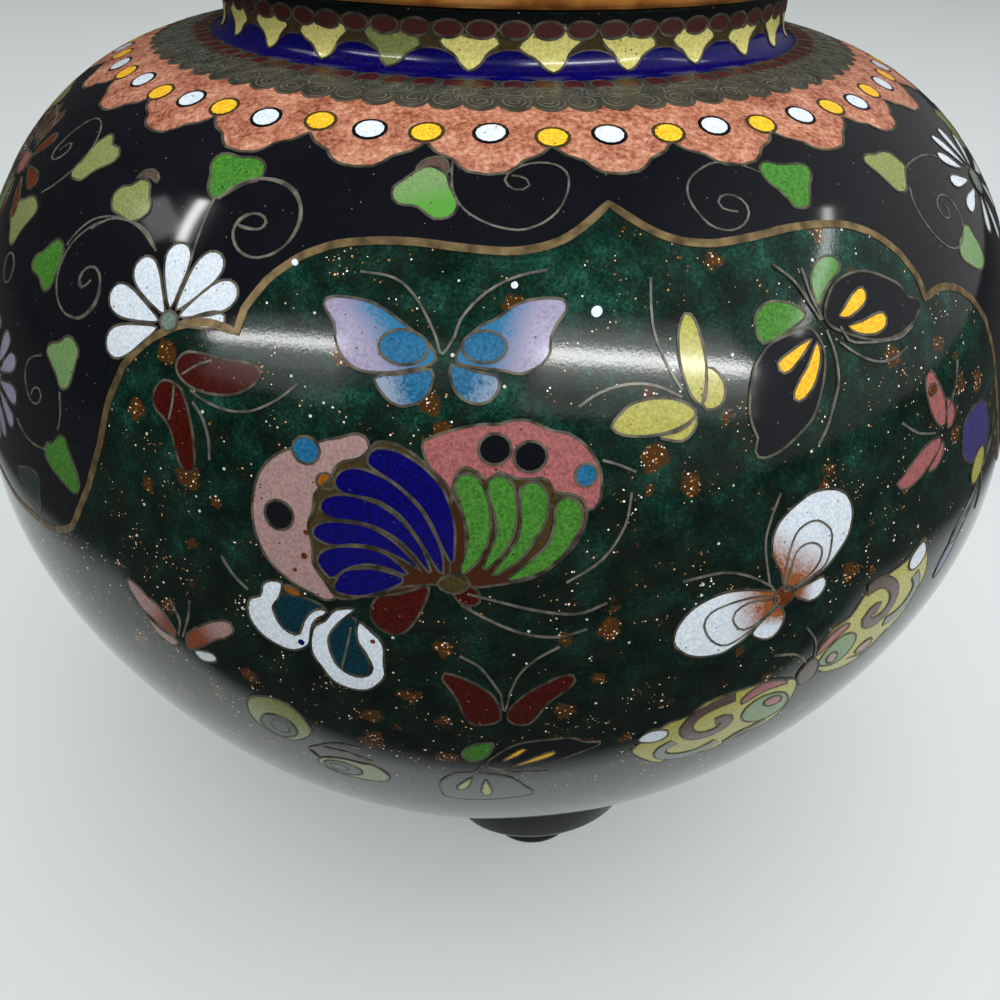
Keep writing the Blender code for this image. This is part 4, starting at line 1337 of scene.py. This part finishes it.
yellowGreyButterfly = {
    "chips": (
        ("olive", 2, ((-4.7, 0), (-4.5, 1.8), (-3.8, 3), (-2.5, 3.7), (-1, 3.7), (0.2, 3), (1, 1.5),
            (1.2, 0), (0.4, -1.6), (-1.4, -3), (-3.4, -2.4), (-4.4, -1.2))),
        ("greyGreen", 4, ((-0.4, 0.3), (-0.9, 1.1), (-2, 1.3), (-3, 0.8), (-3.6, -0.2), (-3.8, -1.2),
            (-2.6, -2.6), (-1.2, -2.2), (-0.3, -1))),
        ("olive", 2, ((4.7, -4.8), (6, -5), (6.9, -7), (6, -8.8), (3.8, -9.2), (1.4, -8.6), (0.2, -7),
            (1, -5.4), (3, -4.6))),
        ("greyGreen", 4, oval(2.6, -6.9, 1.8, 1.5)),
    ),
    "wireLayer": 5,
    "wires": (
        oval(-1.9, -0.7, 0.9, 1),
        oval(2.2, -6.9, 0.9, 0.8),
        ((1.4, -2.6), (0, -4), (0.6, -5.4)),
        ((1.6, -2.4), (3.4, -1.4), (5.4, -1.6)),
        ((1.6, -2.8), (4, -3), (6, -4)),
    ),
}

violetButterfly = {
    "chips": (
        ("violet", 2, ((-7, 6.5), (-5, 7.6), (-2.5, 7.2), (-1, 5), (-0.8, 2.5), (-2, 1.5), (-4.5, 2),
            (-7, 3.8))),
        ("paleYellow", 4, oval(-3, 1.2, 1.5, 1.8, -20)),
        ("greyGlass", 2, lobe((-2, -0.6), (-6.6, -5.4), 1.8, 0.3)),
        ("violet", 2, lobe((-2.4, -2.4), (-8, -8.6), 2.2, -0.4)),
    ),
    "wires": (((-1.2, 0.4), (0.4, 2.4), (0.8, 5)), ((-1.4, -0.2), (-0.6, -2.4), (-0.8, -4.4))),
}

blackYellowButterfly = {
    "chips": (
        ("black", 2, ((-2, -1), (-0.5, 1.5), (1, 2.6), (3, 3), (5, 3), (6.2, 2.2), (7.5, 2), (7, 1.3),
            (5.5, 0.3), (3.5, -1), (1, -2), (-1, -2))),
        ("leafGreen", 2, ((-4, 0), (-3.9, 1.3), (-3, 2.3), (-1.5, 2.5), (-1.6, 1.3), (-2.2, 0),
            (-3.2, -0.8))),
        ("yellow", 4, petal((-0.8, -0.7), (1.2, 1.8), 0.8)),
        ("yellow", 4, petal((0, -1.7), (3.8, 1), 0.9)),
        ("greyGreen", 2, ((-5.9, -5.5), (-6, -8), (-5.3, -10.5), (-2, -10.8), (2.2, -9), (1.5, -6.5),
            (0, -4), (-2.6, -3.2), (-4.6, -3.6))),
        ("paleYellow", 4, petal((-3.2, -4.2), (-4.3, -7.6), 1.1)),
        ("paleYellow", 4, petal((-2, -4.6), (-1.8, -9.1), 1.2)),
    ),
    "wires": (((-2.4, -1.6), (-3, -3), (-5, -3.6)), ((-1.8, -1.8), (0.4, -3), (3.4, -3))),
}

def whitePetals(*rows):
    return tuple(("white", 2, petal(base, tip, width)) for base, tip, width in rows)


whiteFlower = {     # half a chrysanthemum over the border
    "chips": whitePetals(
        ((-0.4, -2.4), (-5.3, -5), 3.0), ((-0.4, -1.9), (-6, -1), 3.0), ((0, -1.3), (-3.8, 2.1), 3.0),
        ((0.4, -0.8), (-0.4, 4.1), 2.9), ((1, -0.8), (3.4, 3.9), 2.9), ((1.4, -1.2), (5.7, 1.7), 2.8),
        ((1.5, -1.7), (5.4, -0.6), 1.5)) + (("greyGlass", 5, oval(0.6, -1.7, 0.8, 0.75)),),
    "wires": (
        ((1, 3), (0.9, 5), (0.8, 8)),
        ((-2.5, 3), (-4, 4.2), (-6, 4.6), (-8.5, 4.3), (-10.5, 3)),
        ((1.2, 8), (2, 9.3), (3.5, 10.2), (5.5, 10.3), (7.3, 9.4), (8.5, 7.5), (8.3, 5.5), (7, 4.3),
            (5.5, 4.1), (4.2, 4.8), (3.6, 6), (4.2, 7.1), (5.2, 7.4), (6, 6.9), (5.8, 6.3), (4.8, 6.1),
            (4, 6.2)),
        ((-11, -4), (-9, -3.8), (-7.5, -2.5), (-7.3, -1), (-8, 0.2), (-9.3, 0.2), (-10.1, -0.8),
            (-9.5, -1.5), (-8.7, -0.8)),
    ),
}

sideFlower = {
    "chips": whitePetals(
        ((0.6, -0.2), (-4, 0.9), 1.6), ((1, 0.9), (-2.8, 3.4), 1.6), ((2.5, 0.8), (-0.6, 5), 1.6),
        ((3.7, 0.6), (3, 5), 1.9), ((4.6, 0), (7.3, 3), 1.9), ((1.2, -1.2), (-3.6, -2), 1.8),
        ((2.2, -2.3), (-0.3, -5.2), 1.9), ((3.3, -2.9), (3.6, -7), 1.9), ((6, -0.8), (10.4, -1.4), 2.0),
        ((5.6, -2), (9, -5), 2.0)) + (("greyGlass", 5, oval(3.4, -1.1, 1.5, 1.2)),),
    "wires": (((3, -1), (3.6, -1.4), (4, -0.8), (3.4, -0.3), (2.6, -0.8)),),
}


def wholeFlower(petals, inner, outer, width, glass):
    chips = []
    for i in range(petals):
        angle = turn * i / petals + 0.06 * sin(i * 2.3)
        way = np.array([cos(angle), sin(angle)])
        chips.append((glass, 2, petal(way * inner, way * (outer + 0.3 * sin(i * 1.7)), width)))
    chips.append(("olive", 5, oval(0, 0, inner * 1.05, inner)))
    return {"chips": chips, "wires": (oval(0, 0, inner * 0.5, inner * 0.45),), "wireLayer": 6}


# Vines on the black collar: small lobed leaves and tendrils, in patches that each have their own place

broadLeaf = (
    (1.5, 0.4), (1.9, 0.9), (2.8, 0.95), (3.6, 0.8), (4.5, 1), (5.5, 0.9), (6.2, 0.4), (6.5, -0.4), (6.3, -1),
    (5.5, -1.4), (4.9, -2), (4.2, -2.8), (3.6, -3), (2.9, -2.7), (2.4, -2), (2, -1), (1.5, -0.3))
vines = (
    {"at": (-22, 13),
     "leaves": (
        ("sageGreen", ((-0.7, -1.2), (0, -0.4), (0.6, 0.3), (1.2, 0.8), (1.8, 0.9), (2.5, 0.5), (3, 0.1),
            (3.2, -0.6), (3.6, -1.3), (4, -2), (4.1, -2.8), (3.6, -3.4), (2.7, -3.6), (2, -3.2), (1.3, -2.7),
            (0.6, -2.6), (0, -2.6), (-0.6, -2.1)), ((1.4, -0.2), (2.6, -3.2))),
        ("mauve", ((0.6, 0.3), (0.9, 1.3), (1.6, 1.8), (2.4, 1.8), (2.9, 1.1), (3, 0.2), (2.2, 0.8),
            (1.3, 0.9))),
     ),
     "wires": (
        ((3.1, 1.6), (3.3, 0), (3.7, -1.5), (4.6, -2.7), (6, -3.6), (7.5, -4.1), (9, -4.2), (10.5, -3.5),
            (11.4, -2.3), (11.7, -0.8), (11.5, 0.4), (10.8, 1.2), (9.8, 1.55), (8.6, 1.45), (7.6, 0.9),
            (7.1, 0.2), (7.2, -0.4), (7.8, -0.9), (8.5, -0.95), (8.9, -0.6), (8.6, 0), (7.9, 0.3),
            (7.5, 0.3)),
     )},
    {"at": (-45, 14),
     "leaves": (
        ("leafGreen", broadLeaf),
        ("olive", ((-6.5, -4.8), (-6, -4), (-4.9, -3.6), (-4.4, -3), (-3.6, -2.9), (-2.9, -3.3), (-2.6, -4),
            (-2, -4.5), (-1.7, -5.2), (-2.3, -6), (-3.3, -6.4), (-4.8, -6.2), (-5.8, -6), (-6.3, -5.5))),
        ("mauve", ((-4.9, -3), (-4.6, -2.3), (-3.7, -1.9), (-2.8, -2.2), (-2.4, -2.9), (-3.6, -2.6))),
     ),
     "wires": (
        ((4.6, -2.2), (5, -1.4), (6, -0.9), (7.5, -0.75), (9.2, -1.2), (10.6, -2.3), (11.3, -3.7),
            (11.3, -5.2), (10.6, -6.4), (9.3, -6.9), (8, -6.7), (7, -5.9), (6.5, -4.8), (6.8, -4),
            (7.6, -3.6), (8.5, -3.8), (8.9, -4.3), (8.7, -4.8), (7.8, -4.8), (6.7, -4.7)),
        ((-10, -10), (-9, -8.5), (-7.5, -7.2), (-5.5, -6.5), (-3.5, -6.4), (-1.5, -6.8), (0, -7.6)),
     )},
    {"at": (8, 14),
     "leaves": (
        ("leafGreen", ((4.6, 0.6), (4.9, 1.2), (5.6, 1.4), (6.5, 1), (7.7, 0.8), (8.8, 0.7), (9.3, 0.1),
            (9.2, -0.6), (8.6, -1.3), (8.2, -2.2), (7.8, -3), (7, -3.1), (6.3, -2.9), (6, -2.2), (5.5, -1.3),
            (4.8, -0.4))),
     ),
     "wires": (
        ((4.5, 0.5), (3.3, 1.3), (2, 1.75), (0.8, 1.8), (-0.6, 1.2), (-1.7, 0.3), (-2.2, -1), (-1.9, -2.4),
            (-1.2, -3.5), (0, -4), (1.2, -3.8), (2.1, -3), (2.2, -2.1), (1.7, -1.4), (0.8, -1.1),
            (0.1, -1.4), (0, -2), (0.5, -2.4), (1.3, -2.6)),
     )},
    {"at": (32, 16),
     "leaves": (
        ("olive", ((-2.3, 1.5), (-1.8, 2.1), (-1, 2.1), (-0.2, 1.9), (0.8, 2), (1.8, 1.6), (2.3, 0.8),
            (2.6, 0), (1.8, -0.6), (1, -1.5), (0.3, -1.9), (-0.7, -1.8), (-1.2, -1), (-1.6, 0))),
        ("sageGreen", ((4.5, -8.5), (5.2, -7.6), (6.3, -7.3), (7.2, -6.8), (8.3, -7), (8.8, -8), (9.4, -9),
            (9.6, -10.4), (8.5, -11), (7, -10.6), (5.8, -9.9), (4.9, -9.3))),
     ),
     "wires": (
        ((2, -0.3), (3.5, 0.1), (5.5, 0.2), (7, 0.1), (8.5, -0.3), (9.5, -0.8)),
        ((1.2, -1.7), (0.5, -3), (0.6, -4.6), (1.2, -6), (2.3, -7.2), (3.6, -7.9), (5, -8), (6.4, -7.4),
            (7.2, -6.5), (7.3, -5.2), (6.8, -4.2), (5.9, -3.6), (4.8, -3.5), (4, -4), (3.9, -4.8),
            (4.4, -5.4), (5.2, -5.5), (5.5, -4.9), (5.3, -4.3)),
     )},
    {"at": (-60, 22),
     "leaves": (
        ("olive", ((-1.8, 3.4), (-1.5, 5), (-1.2, 6.5), (-0.6, 7.6), (0.3, 7.7), (1, 7), (2.3, 6.9),
            (3.1, 6.2), (2.8, 5.4), (1.8, 4.6), (1, 3.8), (0.6, 3.2), (-0.4, 3), (-1.3, 3))),
        ("leafGreen", ((-1.4, -4.8), (-1, -4), (0, -3.4), (0.8, -2.4), (1.8, -1.8), (2.7, -2.2), (3.2, -3),
            (3.1, -4.2), (3, -5.4), (2.3, -6.2), (1.5, -6.1), (0.7, -5.5), (-0.5, -5.4))),
        ("sageGreen", ((4.3, -10.6), (4.8, -9.8), (6, -9.3), (7, -8.5), (8.2, -8.7), (8.9, -9.4),
            (8.7, -10.6), (8.5, -11.8), (8, -12.7), (7, -12.8), (6.3, -12), (5.3, -11.3))),
     ),
     "wires": (
        ((13, 0.2), (11, 1.2), (9, 1.6), (7.5, 1.4), (5.8, 0.6), (4.5, -0.6), (3.6, -2), (3.3, -3.6),
            (3.5, -5), (4.4, -6.2), (5.6, -6.9), (7, -7), (8.4, -6.4), (9.2, -5.2), (9.2, -4), (8.7, -3.1),
            (7.8, -2.6), (6.9, -3), (6.4, -3.8), (6.7, -4.5), (7.3, -4.5), (7.9, -3.7)),
     )},
    {"at": (-60.01, 22),
     "frontOnly": True,
     "leaves": (
        ("olive", ((-10.5, -2.5), (-9.5, -1.5), (-8.2, -1), (-7, -0.4), (-5.7, -0.1), (-4.6, -0.5),
            (-4.3, -1.3), (-5, -2.2), (-5.8, -3.2), (-6.5, -4.4), (-7.5, -5), (-8.5, -4.6), (-9.2, -3.8),
            (-10.2, -3.3))),
     ),
     "wires": (
        ((-5, 0.5), (-3.5, 1.6), (-2.2, 3), (-1.4, 4.5), (-1.3, 6), (-2, 7.3), (-3.2, 8.2), (-4.6, 8.4),
            (-5.8, 7.6), (-6.7, 6.3), (-7.3, 5), (-7.6, 4), (-7, 3.3), (-6, 3.5), (-5.1, 4.2), (-4.8, 5),
            (-5.3, 5.4), (-6, 5), (-6.5, 4.3)),
        oval(-6.3, -6.7, 1.3, 1.3),
     )},
    {"at": (-54, 38),
     "leaves": (
        ("leafGreen", ((-0.8, -3), (-0.5, -2.3), (0.5, -1.8), (1.2, -1.1), (2, -0.7), (2.8, -1.2),
            (3.3, -2.2), (4, -3.2), (4.4, -4.2), (4, -5.1), (3.2, -5.4), (2.2, -5), (1, -4.6), (-0.2, -4.1),
            (-0.8, -3.5))),
        ("greyGreen", ((-7.4, -7.5), (-6, -6.8), (-4.8, -6.3), (-3.3, -6), (-2.3, -6.5), (-2.6, -8),
            (-2.8, -9.5), (-3.5, -10.4), (-5, -9.8), (-6, -8.5))),
     ),
     "wires": (
        ((1.3, 2.8), (1.6, 1.5), (1.6, 0.5), (1.3, -0.5)),
        ((-2, 4.8), (-3.5, 4.2), (-4.5, 3.2), (-4.6, 1.9), (-4, 0.9), (-3, 0.4), (-2, 0.7), (-1.5, 1.4),
            (-2, 2), (-2.9, 1.7), (-3.3, 1)),
        ((-0.5, -2.9), (-2, -3.2), (-3.5, -3.3), (-5, -3), (-6.3, -2.3)),
     )},
)


def makeVines(side, around):
    piece = startPiece(side + "Vines", bodySurface)
    for patch in vines:
        if patch.get("frontOnly") and around:
            continue
        at = (patch["at"][0] + around, patch["at"][1])
        for glass, outline, *fade in patch["leaves"]:
            inlay(piece, at, outline, glass + "Enamel", 2, fade[0] if fade else None)
        for line in patch["wires"]:
            wire(piece, at, line, 3, 0.16, finish="rubbedWire")
    finishPiece(piece, "body_enamel")


flowerSwaps = ({}, {"white": "palePink", "greyGlass": "olive"},
               {"white": "lavender", "greyGlass": "paleYellow"})
sideSwaps = ({}, {"white": "paleBlue", "greyGlass": "paleYellow"}, {"white": "rust", "greyGlass": "pink"})
sideShifts = (0, 0, 9)      # degrees, towards the panel's middle
centreGlasses = ("paleBlue", "pink", "lavender")
for third in range(3):
    side = sides[third]
    around = third * 120
    makeVines(side, around)
    layMotif(side + "Flower", whiteFlower, (-41.4 + around, 25.0), swap=flowerSwaps[third])
    layMotif(side + "SideFlower", sideFlower, (48 + around - sideShifts[third], 20.0), swap=sideSwaps[third])
    flower = wholeFlower(12, 1.7, 6.0, 2.1, centreGlasses[third])
    layMotif(side + "Chrysanthemum", flower, (53.4 + around, 38.5))

butterflies = (
    ("lavenderButterfly", lavenderButterfly, (-16.6, 26.0)),
    ("darkRedButterfly", darkRedButterfly, (-37.2, 31.5)),
    ("yellowButterfly", yellowButterfly, (2.6, 30.0)),
    ("blackButterfly", blackButterfly, (13.5, 29.0)),
    ("pinkButterfly", pinkButterfly, (28.6, 37.0)),
    ("whiteButterfly", whiteButterfly, (9.7, 46.0)),
    ("bigButterfly", bigButterfly, (-17.5, 43.0)),
    ("crescentButterfly", crescentButterfly, (-27.5, 48.5)),
    ("palePinkButterfly", palePinkButterfly, (-38.0, 51.3)),
    ("smallRedButterfly", smallRedButterfly, (-11.7, 54.0)),
    ("yellowGreyButterfly", yellowGreyButterfly, (-29.6, 61.0)),
    ("blackYellowButterfly", blackYellowButterfly, (-11.0, 62.0)),
    ("bigYellowButterfly", bigYellowButterfly, (15.3, 58.0)),
    ("violetButterfly", violetButterfly, (40.0, 45.0)),
)
for name, motif, at in butterflies:
    layMotif(name, motif, at)

# the two panels away from the photo, with the same butterflies in other glasses and fewer of them
farButterflies = (
    ("rightBig", bigButterfly, (132, 42.5), {"mirror": True, "swap": {
        "cobalt": "darkRed", "leafGreen": "yellow", "pink": "lavender", "palePink": "sageGreen"}}),
    ("rightYellowGreen", lavenderButterfly, (108, 27.5), {"swap": {
        "lavender": "paleYellow", "turquoise": "leafGreen"}}),
    ("rightYellow", yellowButterfly, (128, 26.5), {"mirror": True, "swap": {"paleYellow": "turquoise"}}),
    ("rightDarkRed", darkRedButterfly, (151, 32), {"mirror": True}),
    ("rightBlack", blackButterfly, (87, 32), {}),
    ("rightWhite", whiteButterfly, (98, 48), {}),
    ("rightPalePink", palePinkButterfly, (150, 53), {}),
    ("rightSmallRed", smallRedButterfly, (137, 60), {"swap": {"darkRed": "turquoise"}}),
    ("rightBigYellow", bigYellowButterfly, (116, 66), {"mirror": True, "swap": {"pink": "darkRed"}}),
    ("leftBlack", blackButterfly, (221, 29), {"mirror": True}),
    ("leftCrescents", crescentButterfly, (240, 29), {"swap": {"teal": "cobalt"}}),
    ("leftLavender", lavenderButterfly, (258, 31), {"swap": {"lavender": "pink", "turquoise": "violet"}}),
    ("leftPink", pinkButterfly, (205, 40), {"mirror": True}),
    ("leftWhite", whiteButterfly, (224, 48), {"mirror": True}),
    ("leftBig", bigButterfly, (250, 51), {"size": 0.92, "swap": {
        "cobalt": "leafGreen", "leafGreen": "turquoise", "pink": "paleYellow"}}),
    ("leftDarkRed", darkRedButterfly, (271, 44), {"mirror": True, "swap": {"darkRed": "yellow"}}),
    ("leftYellowGrey", yellowGreyButterfly, (211, 60), {}),
    ("leftSmallRed", smallRedButterfly, (233, 63), {}),
)
for name, motif, at, how in farButterflies:
    layMotif(name, motif, at, **how)
print("vines, flowers and butterflies laid")


# Lid: a salmon lappet ring round the knob, sprays and small flowers on black, a cobalt band at the foot

lidOrnament = {
    "lappets": 12, "lappetTop": 0.7, "lappetEdge": ((0, 5.6), (0.3, 6.4), (0.5, 6.7), (0.62, 7.4), (1, 8.0)),
    "dots": 4.9, "dotRise": 0.7, "sprays": 5, "spray": 16.5, "flower": 20.5,
    "cobaltTop": 27.5, "cobaltEnd": 32.4, "leaves": 24, "leafLevel": 29.6,
    "scallops": 60, "scallopLevel": 32.3,
}
lidSpray = {
    "chips": (
        ("leafGreen", 2, broadLeaf),
        ("olive", 2, ((-4.6, -3.8), (-4, -3), (-2.9, -2.6), (-2.4, -2), (-1.6, -1.9), (-0.9, -2.3),
            (-0.6, -3), (0, -3.5), (0.3, -4.2), (-0.3, -5), (-1.3, -5.4), (-2.8, -5.2), (-3.8, -5),
            (-4.3, -4.5))),
    ),
    "wireLayer": 3,
    "wires": (
        ((1.6, 0.3), (0.4, 1.8), (-1.4, 2.6), (-3.2, 2), (-4.2, 0.6), (-4, -0.9), (-2.9, -1.4), (-1.9, -0.9),
            (-1.7, 0), (-2.3, 0.7), (-3, 0.4)),
        ((4, -3), (2.6, -4.6), (0.8, -5.4), (-0.6, -5)),
    ),
}
lidFlower = wholeFlower(9, 0.8, 2.9, 1.5, "white")


def makeLidOrnament(form):
    lappets = lappetLine(form["lappets"], 0, form["lappetEdge"])
    bands = startPiece("lidBands", lidSurface)
    ringInlay(bands, level(form["lappetTop"]), lappets, "salmonEnamel", 2, 480, 8)
    ringInlay(bands, level(form["cobaltTop"]), level(form["cobaltEnd"]), "cobaltEnamel", 1, 360, 8)
    degrees = np.linspace(0, 360, 481)
    ribbon(bands, np.radians(degrees), lappets(degrees), 3, 0.24, True, "brassWire")
    for s in (form["lappetTop"], form["cobaltTop"]):
        ribbon(bands, np.radians(degrees), level(s)(degrees), 3, 0.3, True, "borderBrass")
    finishPiece(bands, "lid_enamel")
    small = startPiece("lidLeavesAndDots", lidSurface)
    for i in range(2 * form["lappets"]):
        rise, size, finish = (form["dotRise"], 0.8, "yellowEnamel") if i % 2 else (0, 1.0, "whiteEnamel")
        place = (i * 180 / form["lappets"], form["dots"] - rise)
        for radius, glass, layer in ((0.95 * size, "blackEnamel", 3), (0.7 * size, finish, 4)):
            inlay(small, place, oval(0, 0, radius, radius), glass, layer, wired=False)
    for i in range(form["leaves"]):
        inlay(small, (i * 360 / form["leaves"], form["leafLevel"]), neckLeaf, "strawEnamel", 2, turned=180)
    for i in range(form["scallops"]):
        place = (i * 360 / form["scallops"], form["scallopLevel"])
        inlay(small, place, oval(0, 0, 1.2, 0.9), "oxbloodEnamel", 3)
    finishPiece(small, "lid_enamel")
    for i in range(form["sprays"]):
        azimuth = i * 360 / form["sprays"]
        between = azimuth + 180 / form["sprays"]
        layMotif("lidSpray%d" % (i + 1), lidSpray, (azimuth, form["spray"]), lidSurface, "lid_enamel")
        layMotif("lidFlower%d" % (i + 1), lidFlower, (between, form["flower"]), lidSurface, "lid_enamel")


makeLidOrnament(lidOrnament)
print("lid ornament laid")


# Studio: pale floor, hidden overhead softbox for even light, and strips that show as the gloss's streaks

studio = {
    "photoTurn": radians(-12.5),        # the view is this much to the left of the front foot
    "eye": (-0.575, -113.9, 108.6),     # mm, before that turn
    "pitch": radians(33.41),
    "yaw": radians(0.66),
    "roll": radians(1.32),
    "lens": 36.0,
    "sensor": 36.0,
    "floor": "#acb1b1",
    "glow": 0.25,           # painted light: what the floor by the vessel gives off to eye and gloss, against its own shadow
    # painted shade: the floor as the gloss sees it away from the vessel
    "floorDark": "#3a3b3b",
    "paleReach": (0.125, 0.15),         # m from the middle, where what the floor gives back falls off
    "paleFront": (0.053, 0.062),        # m towards the camera, likewise
    "glowReach": (0.045, 0.13),         # m from the middle, where the glow falls off
    "glowLeft": 0.6,                    # the share of it that is left there
    "glowTint": "#f2fbfa",
    "wall": "#d1dadb",
    "gloss": (0.03, 0.34),              # what the gloss finds in the room, ahead and far to the right
    "glossTurn": (0.3, 0.85),           # how far to the right the veil starts and is full
    "fill": 0.5,                        # what else the room gives
}


def placeCamera(look):
    data = bpy.data.cameras.new("camera")
    data.lens = look["lens"]
    data.sensor_width = look["sensor"]
    data.clip_start = 1 * mm
    data.clip_end = 100.0
    camera = bpy.data.objects.new("camera", data)
    bpy.context.scene.collection.objects.link(camera)
    turned = Matrix.Rotation(look["photoTurn"], 4, "Z")
    aim = (Matrix.Rotation(-look["yaw"], 4, "Z") @ Matrix.Rotation(pi / 2 - look["pitch"], 4, "X")
           @ Matrix.Rotation(look["roll"], 4, "Z"))
    camera.matrix_world = turned @ Matrix.Translation(Vector(look["eye"]) * mm) @ aim
    bpy.context.scene.camera = camera


def addSoftbox(name, place, target, size, power, glossy=True, diffuse=True, roll=0.0):
    # place and target in metres, in the view's own frame
    data = bpy.data.lights.new(name, "AREA")
    data.shape = "RECTANGLE"
    data.size, data.size_y = size
    data.energy = power
    light = bpy.data.objects.new(name, data)
    bpy.context.scene.collection.objects.link(light)
    aim = (Vector(target) - Vector(place)).to_track_quat("-Z", "Y").to_matrix().to_4x4()
    spun = aim @ Matrix.Rotation(radians(roll), 4, "Z")
    light.matrix_world = Matrix.Rotation(studio["photoTurn"], 4, "Z") @ Matrix.Translation(place) @ spun
    light.visible_glossy = glossy
    light.visible_diffuse = diffuse
    light.visible_camera = False


def makeFloor(look):
    # all pale to the eye, but the gloss finds it pale only under and beside the vessel and dark elsewhere, a
    # painted shade in the reflections; by the vessel it also glows, a painted light that lifts its shadow
    bpy.ops.object.select_all(action="DESELECT")
    bpy.ops.mesh.primitive_circle_add(vertices=96, radius=3.0, fill_type="NGON", location=(0, 0, 0))
    floor = bpy.context.object
    floor.name = "floor"
    material, tree, shader, place = startMaterial("matPaper", 0.9)
    away = addNode(tree, "ShaderNodeVectorMath", {"operation": "LENGTH"}, {0: place}).outputs["Value"]
    towards = (sin(look["photoTurn"]), -cos(look["photoTurn"]), 0)
    front = addNode(tree, "ShaderNodeVectorMath", {"operation": "DOT_PRODUCT", 1: towards}, {0: place})
    near = ranged(tree, away, *look["paleReach"], 1.0, 0.0)
    behind = ranged(tree, front.outputs["Value"], *look["paleFront"], 1.0, 0.0)
    seen = addNode(tree, "ShaderNodeLightPath").outputs["Is Camera Ray"]
    share = calc(tree, "MAXIMUM", calc(tree, "MULTIPLY", near, behind), seen)
    tree.links.new(mix(tree, share, look["floorDark"], look["floor"]), shader.inputs["Base Color"])
    filled = ranged(tree, away, *look["glowReach"], look["glow"], look["glow"] * look["glowLeft"])
    tree.links.new(calc(tree, "MULTIPLY", filled, share), shader.inputs["Emission Strength"])
    shader.inputs["Emission Color"].default_value = linear(look["glowTint"])
    shader.inputs["Specular IOR Level"].default_value = 0.1
    floor.data.materials.append(material)


def makeWorld(look):
    # pale to the eye, dim to the gloss so that the black glass stays black, with a veil from the right
    world = bpy.data.worlds.new("studio")
    bpy.context.scene.world = world
    world.use_nodes = True
    tree = world.node_tree
    tree.nodes.clear()
    path = addNode(tree, "ShaderNodeLightPath")
    around = addNode(tree, "ShaderNodeTexCoord").outputs["Generated"]
    right = (cos(look["photoTurn"]), sin(look["photoTurn"]), 0)
    across = addNode(tree, "ShaderNodeVectorMath", {"operation": "DOT_PRODUCT", 1: right}, {0: around})
    veil = ranged(tree, across.outputs["Value"], *look["glossTurn"], *look["gloss"])
    white = linear("#ffffff")
    pale = addNode(tree, "ShaderNodeBackground", {"Color": linear(look["wall"]), "Strength": 1.0}).outputs[0]
    dim = addNode(tree, "ShaderNodeBackground", {"Color": white}, {"Strength": veil}).outputs[0]
    soft = addNode(tree, "ShaderNodeBackground", {"Color": white, "Strength": look["fill"]}).outputs[0]
    gloss = addNode(tree, "ShaderNodeMixShader", {}, {0: path.outputs["Is Glossy Ray"], 1: soft, 2: dim})
    whole = addNode(tree, "ShaderNodeMixShader", {}, {0: path.outputs["Is Camera Ray"],
                    1: gloss.outputs[0], 2: pale})
    addNode(tree, "ShaderNodeOutputWorld", {}, {"Surface": whole.outputs[0]})


placeCamera(studio)
makeFloor(studio)
makeWorld(studio)
bpy.context.scene.view_settings.view_transform = "Standard"
addSoftbox("overhead", (0.12, -0.1, 0.9), (0, 0, 0.05), (1.2, 1.2), 10.2, glossy=False)
addSoftbox("frontFill", (0.3, -0.72, 0.42), (0, 0, 0.06), (1.0, 0.5), 4.0, glossy=False)
addSoftbox("frontStrip", (0, -0.66, 0.50), (0, 0, 0.50), (1.9, 0.22), 0.5, diffuse=False)
addSoftbox("rightVeil", (0.46, -0.66, 0.53), (0.46, 0, 0.53), (0.80, 0.50), 1.1, diffuse=False, roll=-4)
addSoftbox("rightHaze", (0.46, -0.63, 0.50), (0.46, 0, 0.50), (0.75, 0.28), 0.9, diffuse=False, roll=-4)
addSoftbox("rightGlow", (0.46, -0.615, 0.48), (0.46, 0, 0.48), (0.73, 0.15), 0.5, diffuse=False, roll=-4)
addSoftbox("rightCore", (0.46, -0.60, 0.471), (0.46, 0, 0.471), (0.71, 0.06), 2.6, diffuse=False, roll=-4)
addSoftbox("leftVeil", (-0.78, -0.66, 0.58), (-0.78, 0, 0.58), (0.80, 0.44), 0.9, diffuse=False, roll=-7.5)
addSoftbox("leftHaze", (-0.78, -0.63, 0.56), (-0.78, 0, 0.56), (0.76, 0.20), 0.5, diffuse=False, roll=-7.5)
addSoftbox("leftCore", (-0.82, -0.60, 0.58), (-0.82, 0, 0.58), (0.80, 0.05), 2.4, diffuse=False, roll=-7.5)
addSoftbox("leftStreak", (-0.602, 0.011, 0.582), (0, 0, 0.06), (0.175, 0.028), 0.30, diffuse=False, roll=135)
addSoftbox("leftPatch", (-0.67, 0.07, 0.54), (0, 0, 0.06), (0.16, 0.10), 0.08, diffuse=False)
addSoftbox("rightStreak", (0.66, -0.09, 0.50), (0, 0, 0.06), (0.50, 0.025), 0.34, diffuse=False, roll=28)
print("studio set")

bpy.context.view_layer.update()
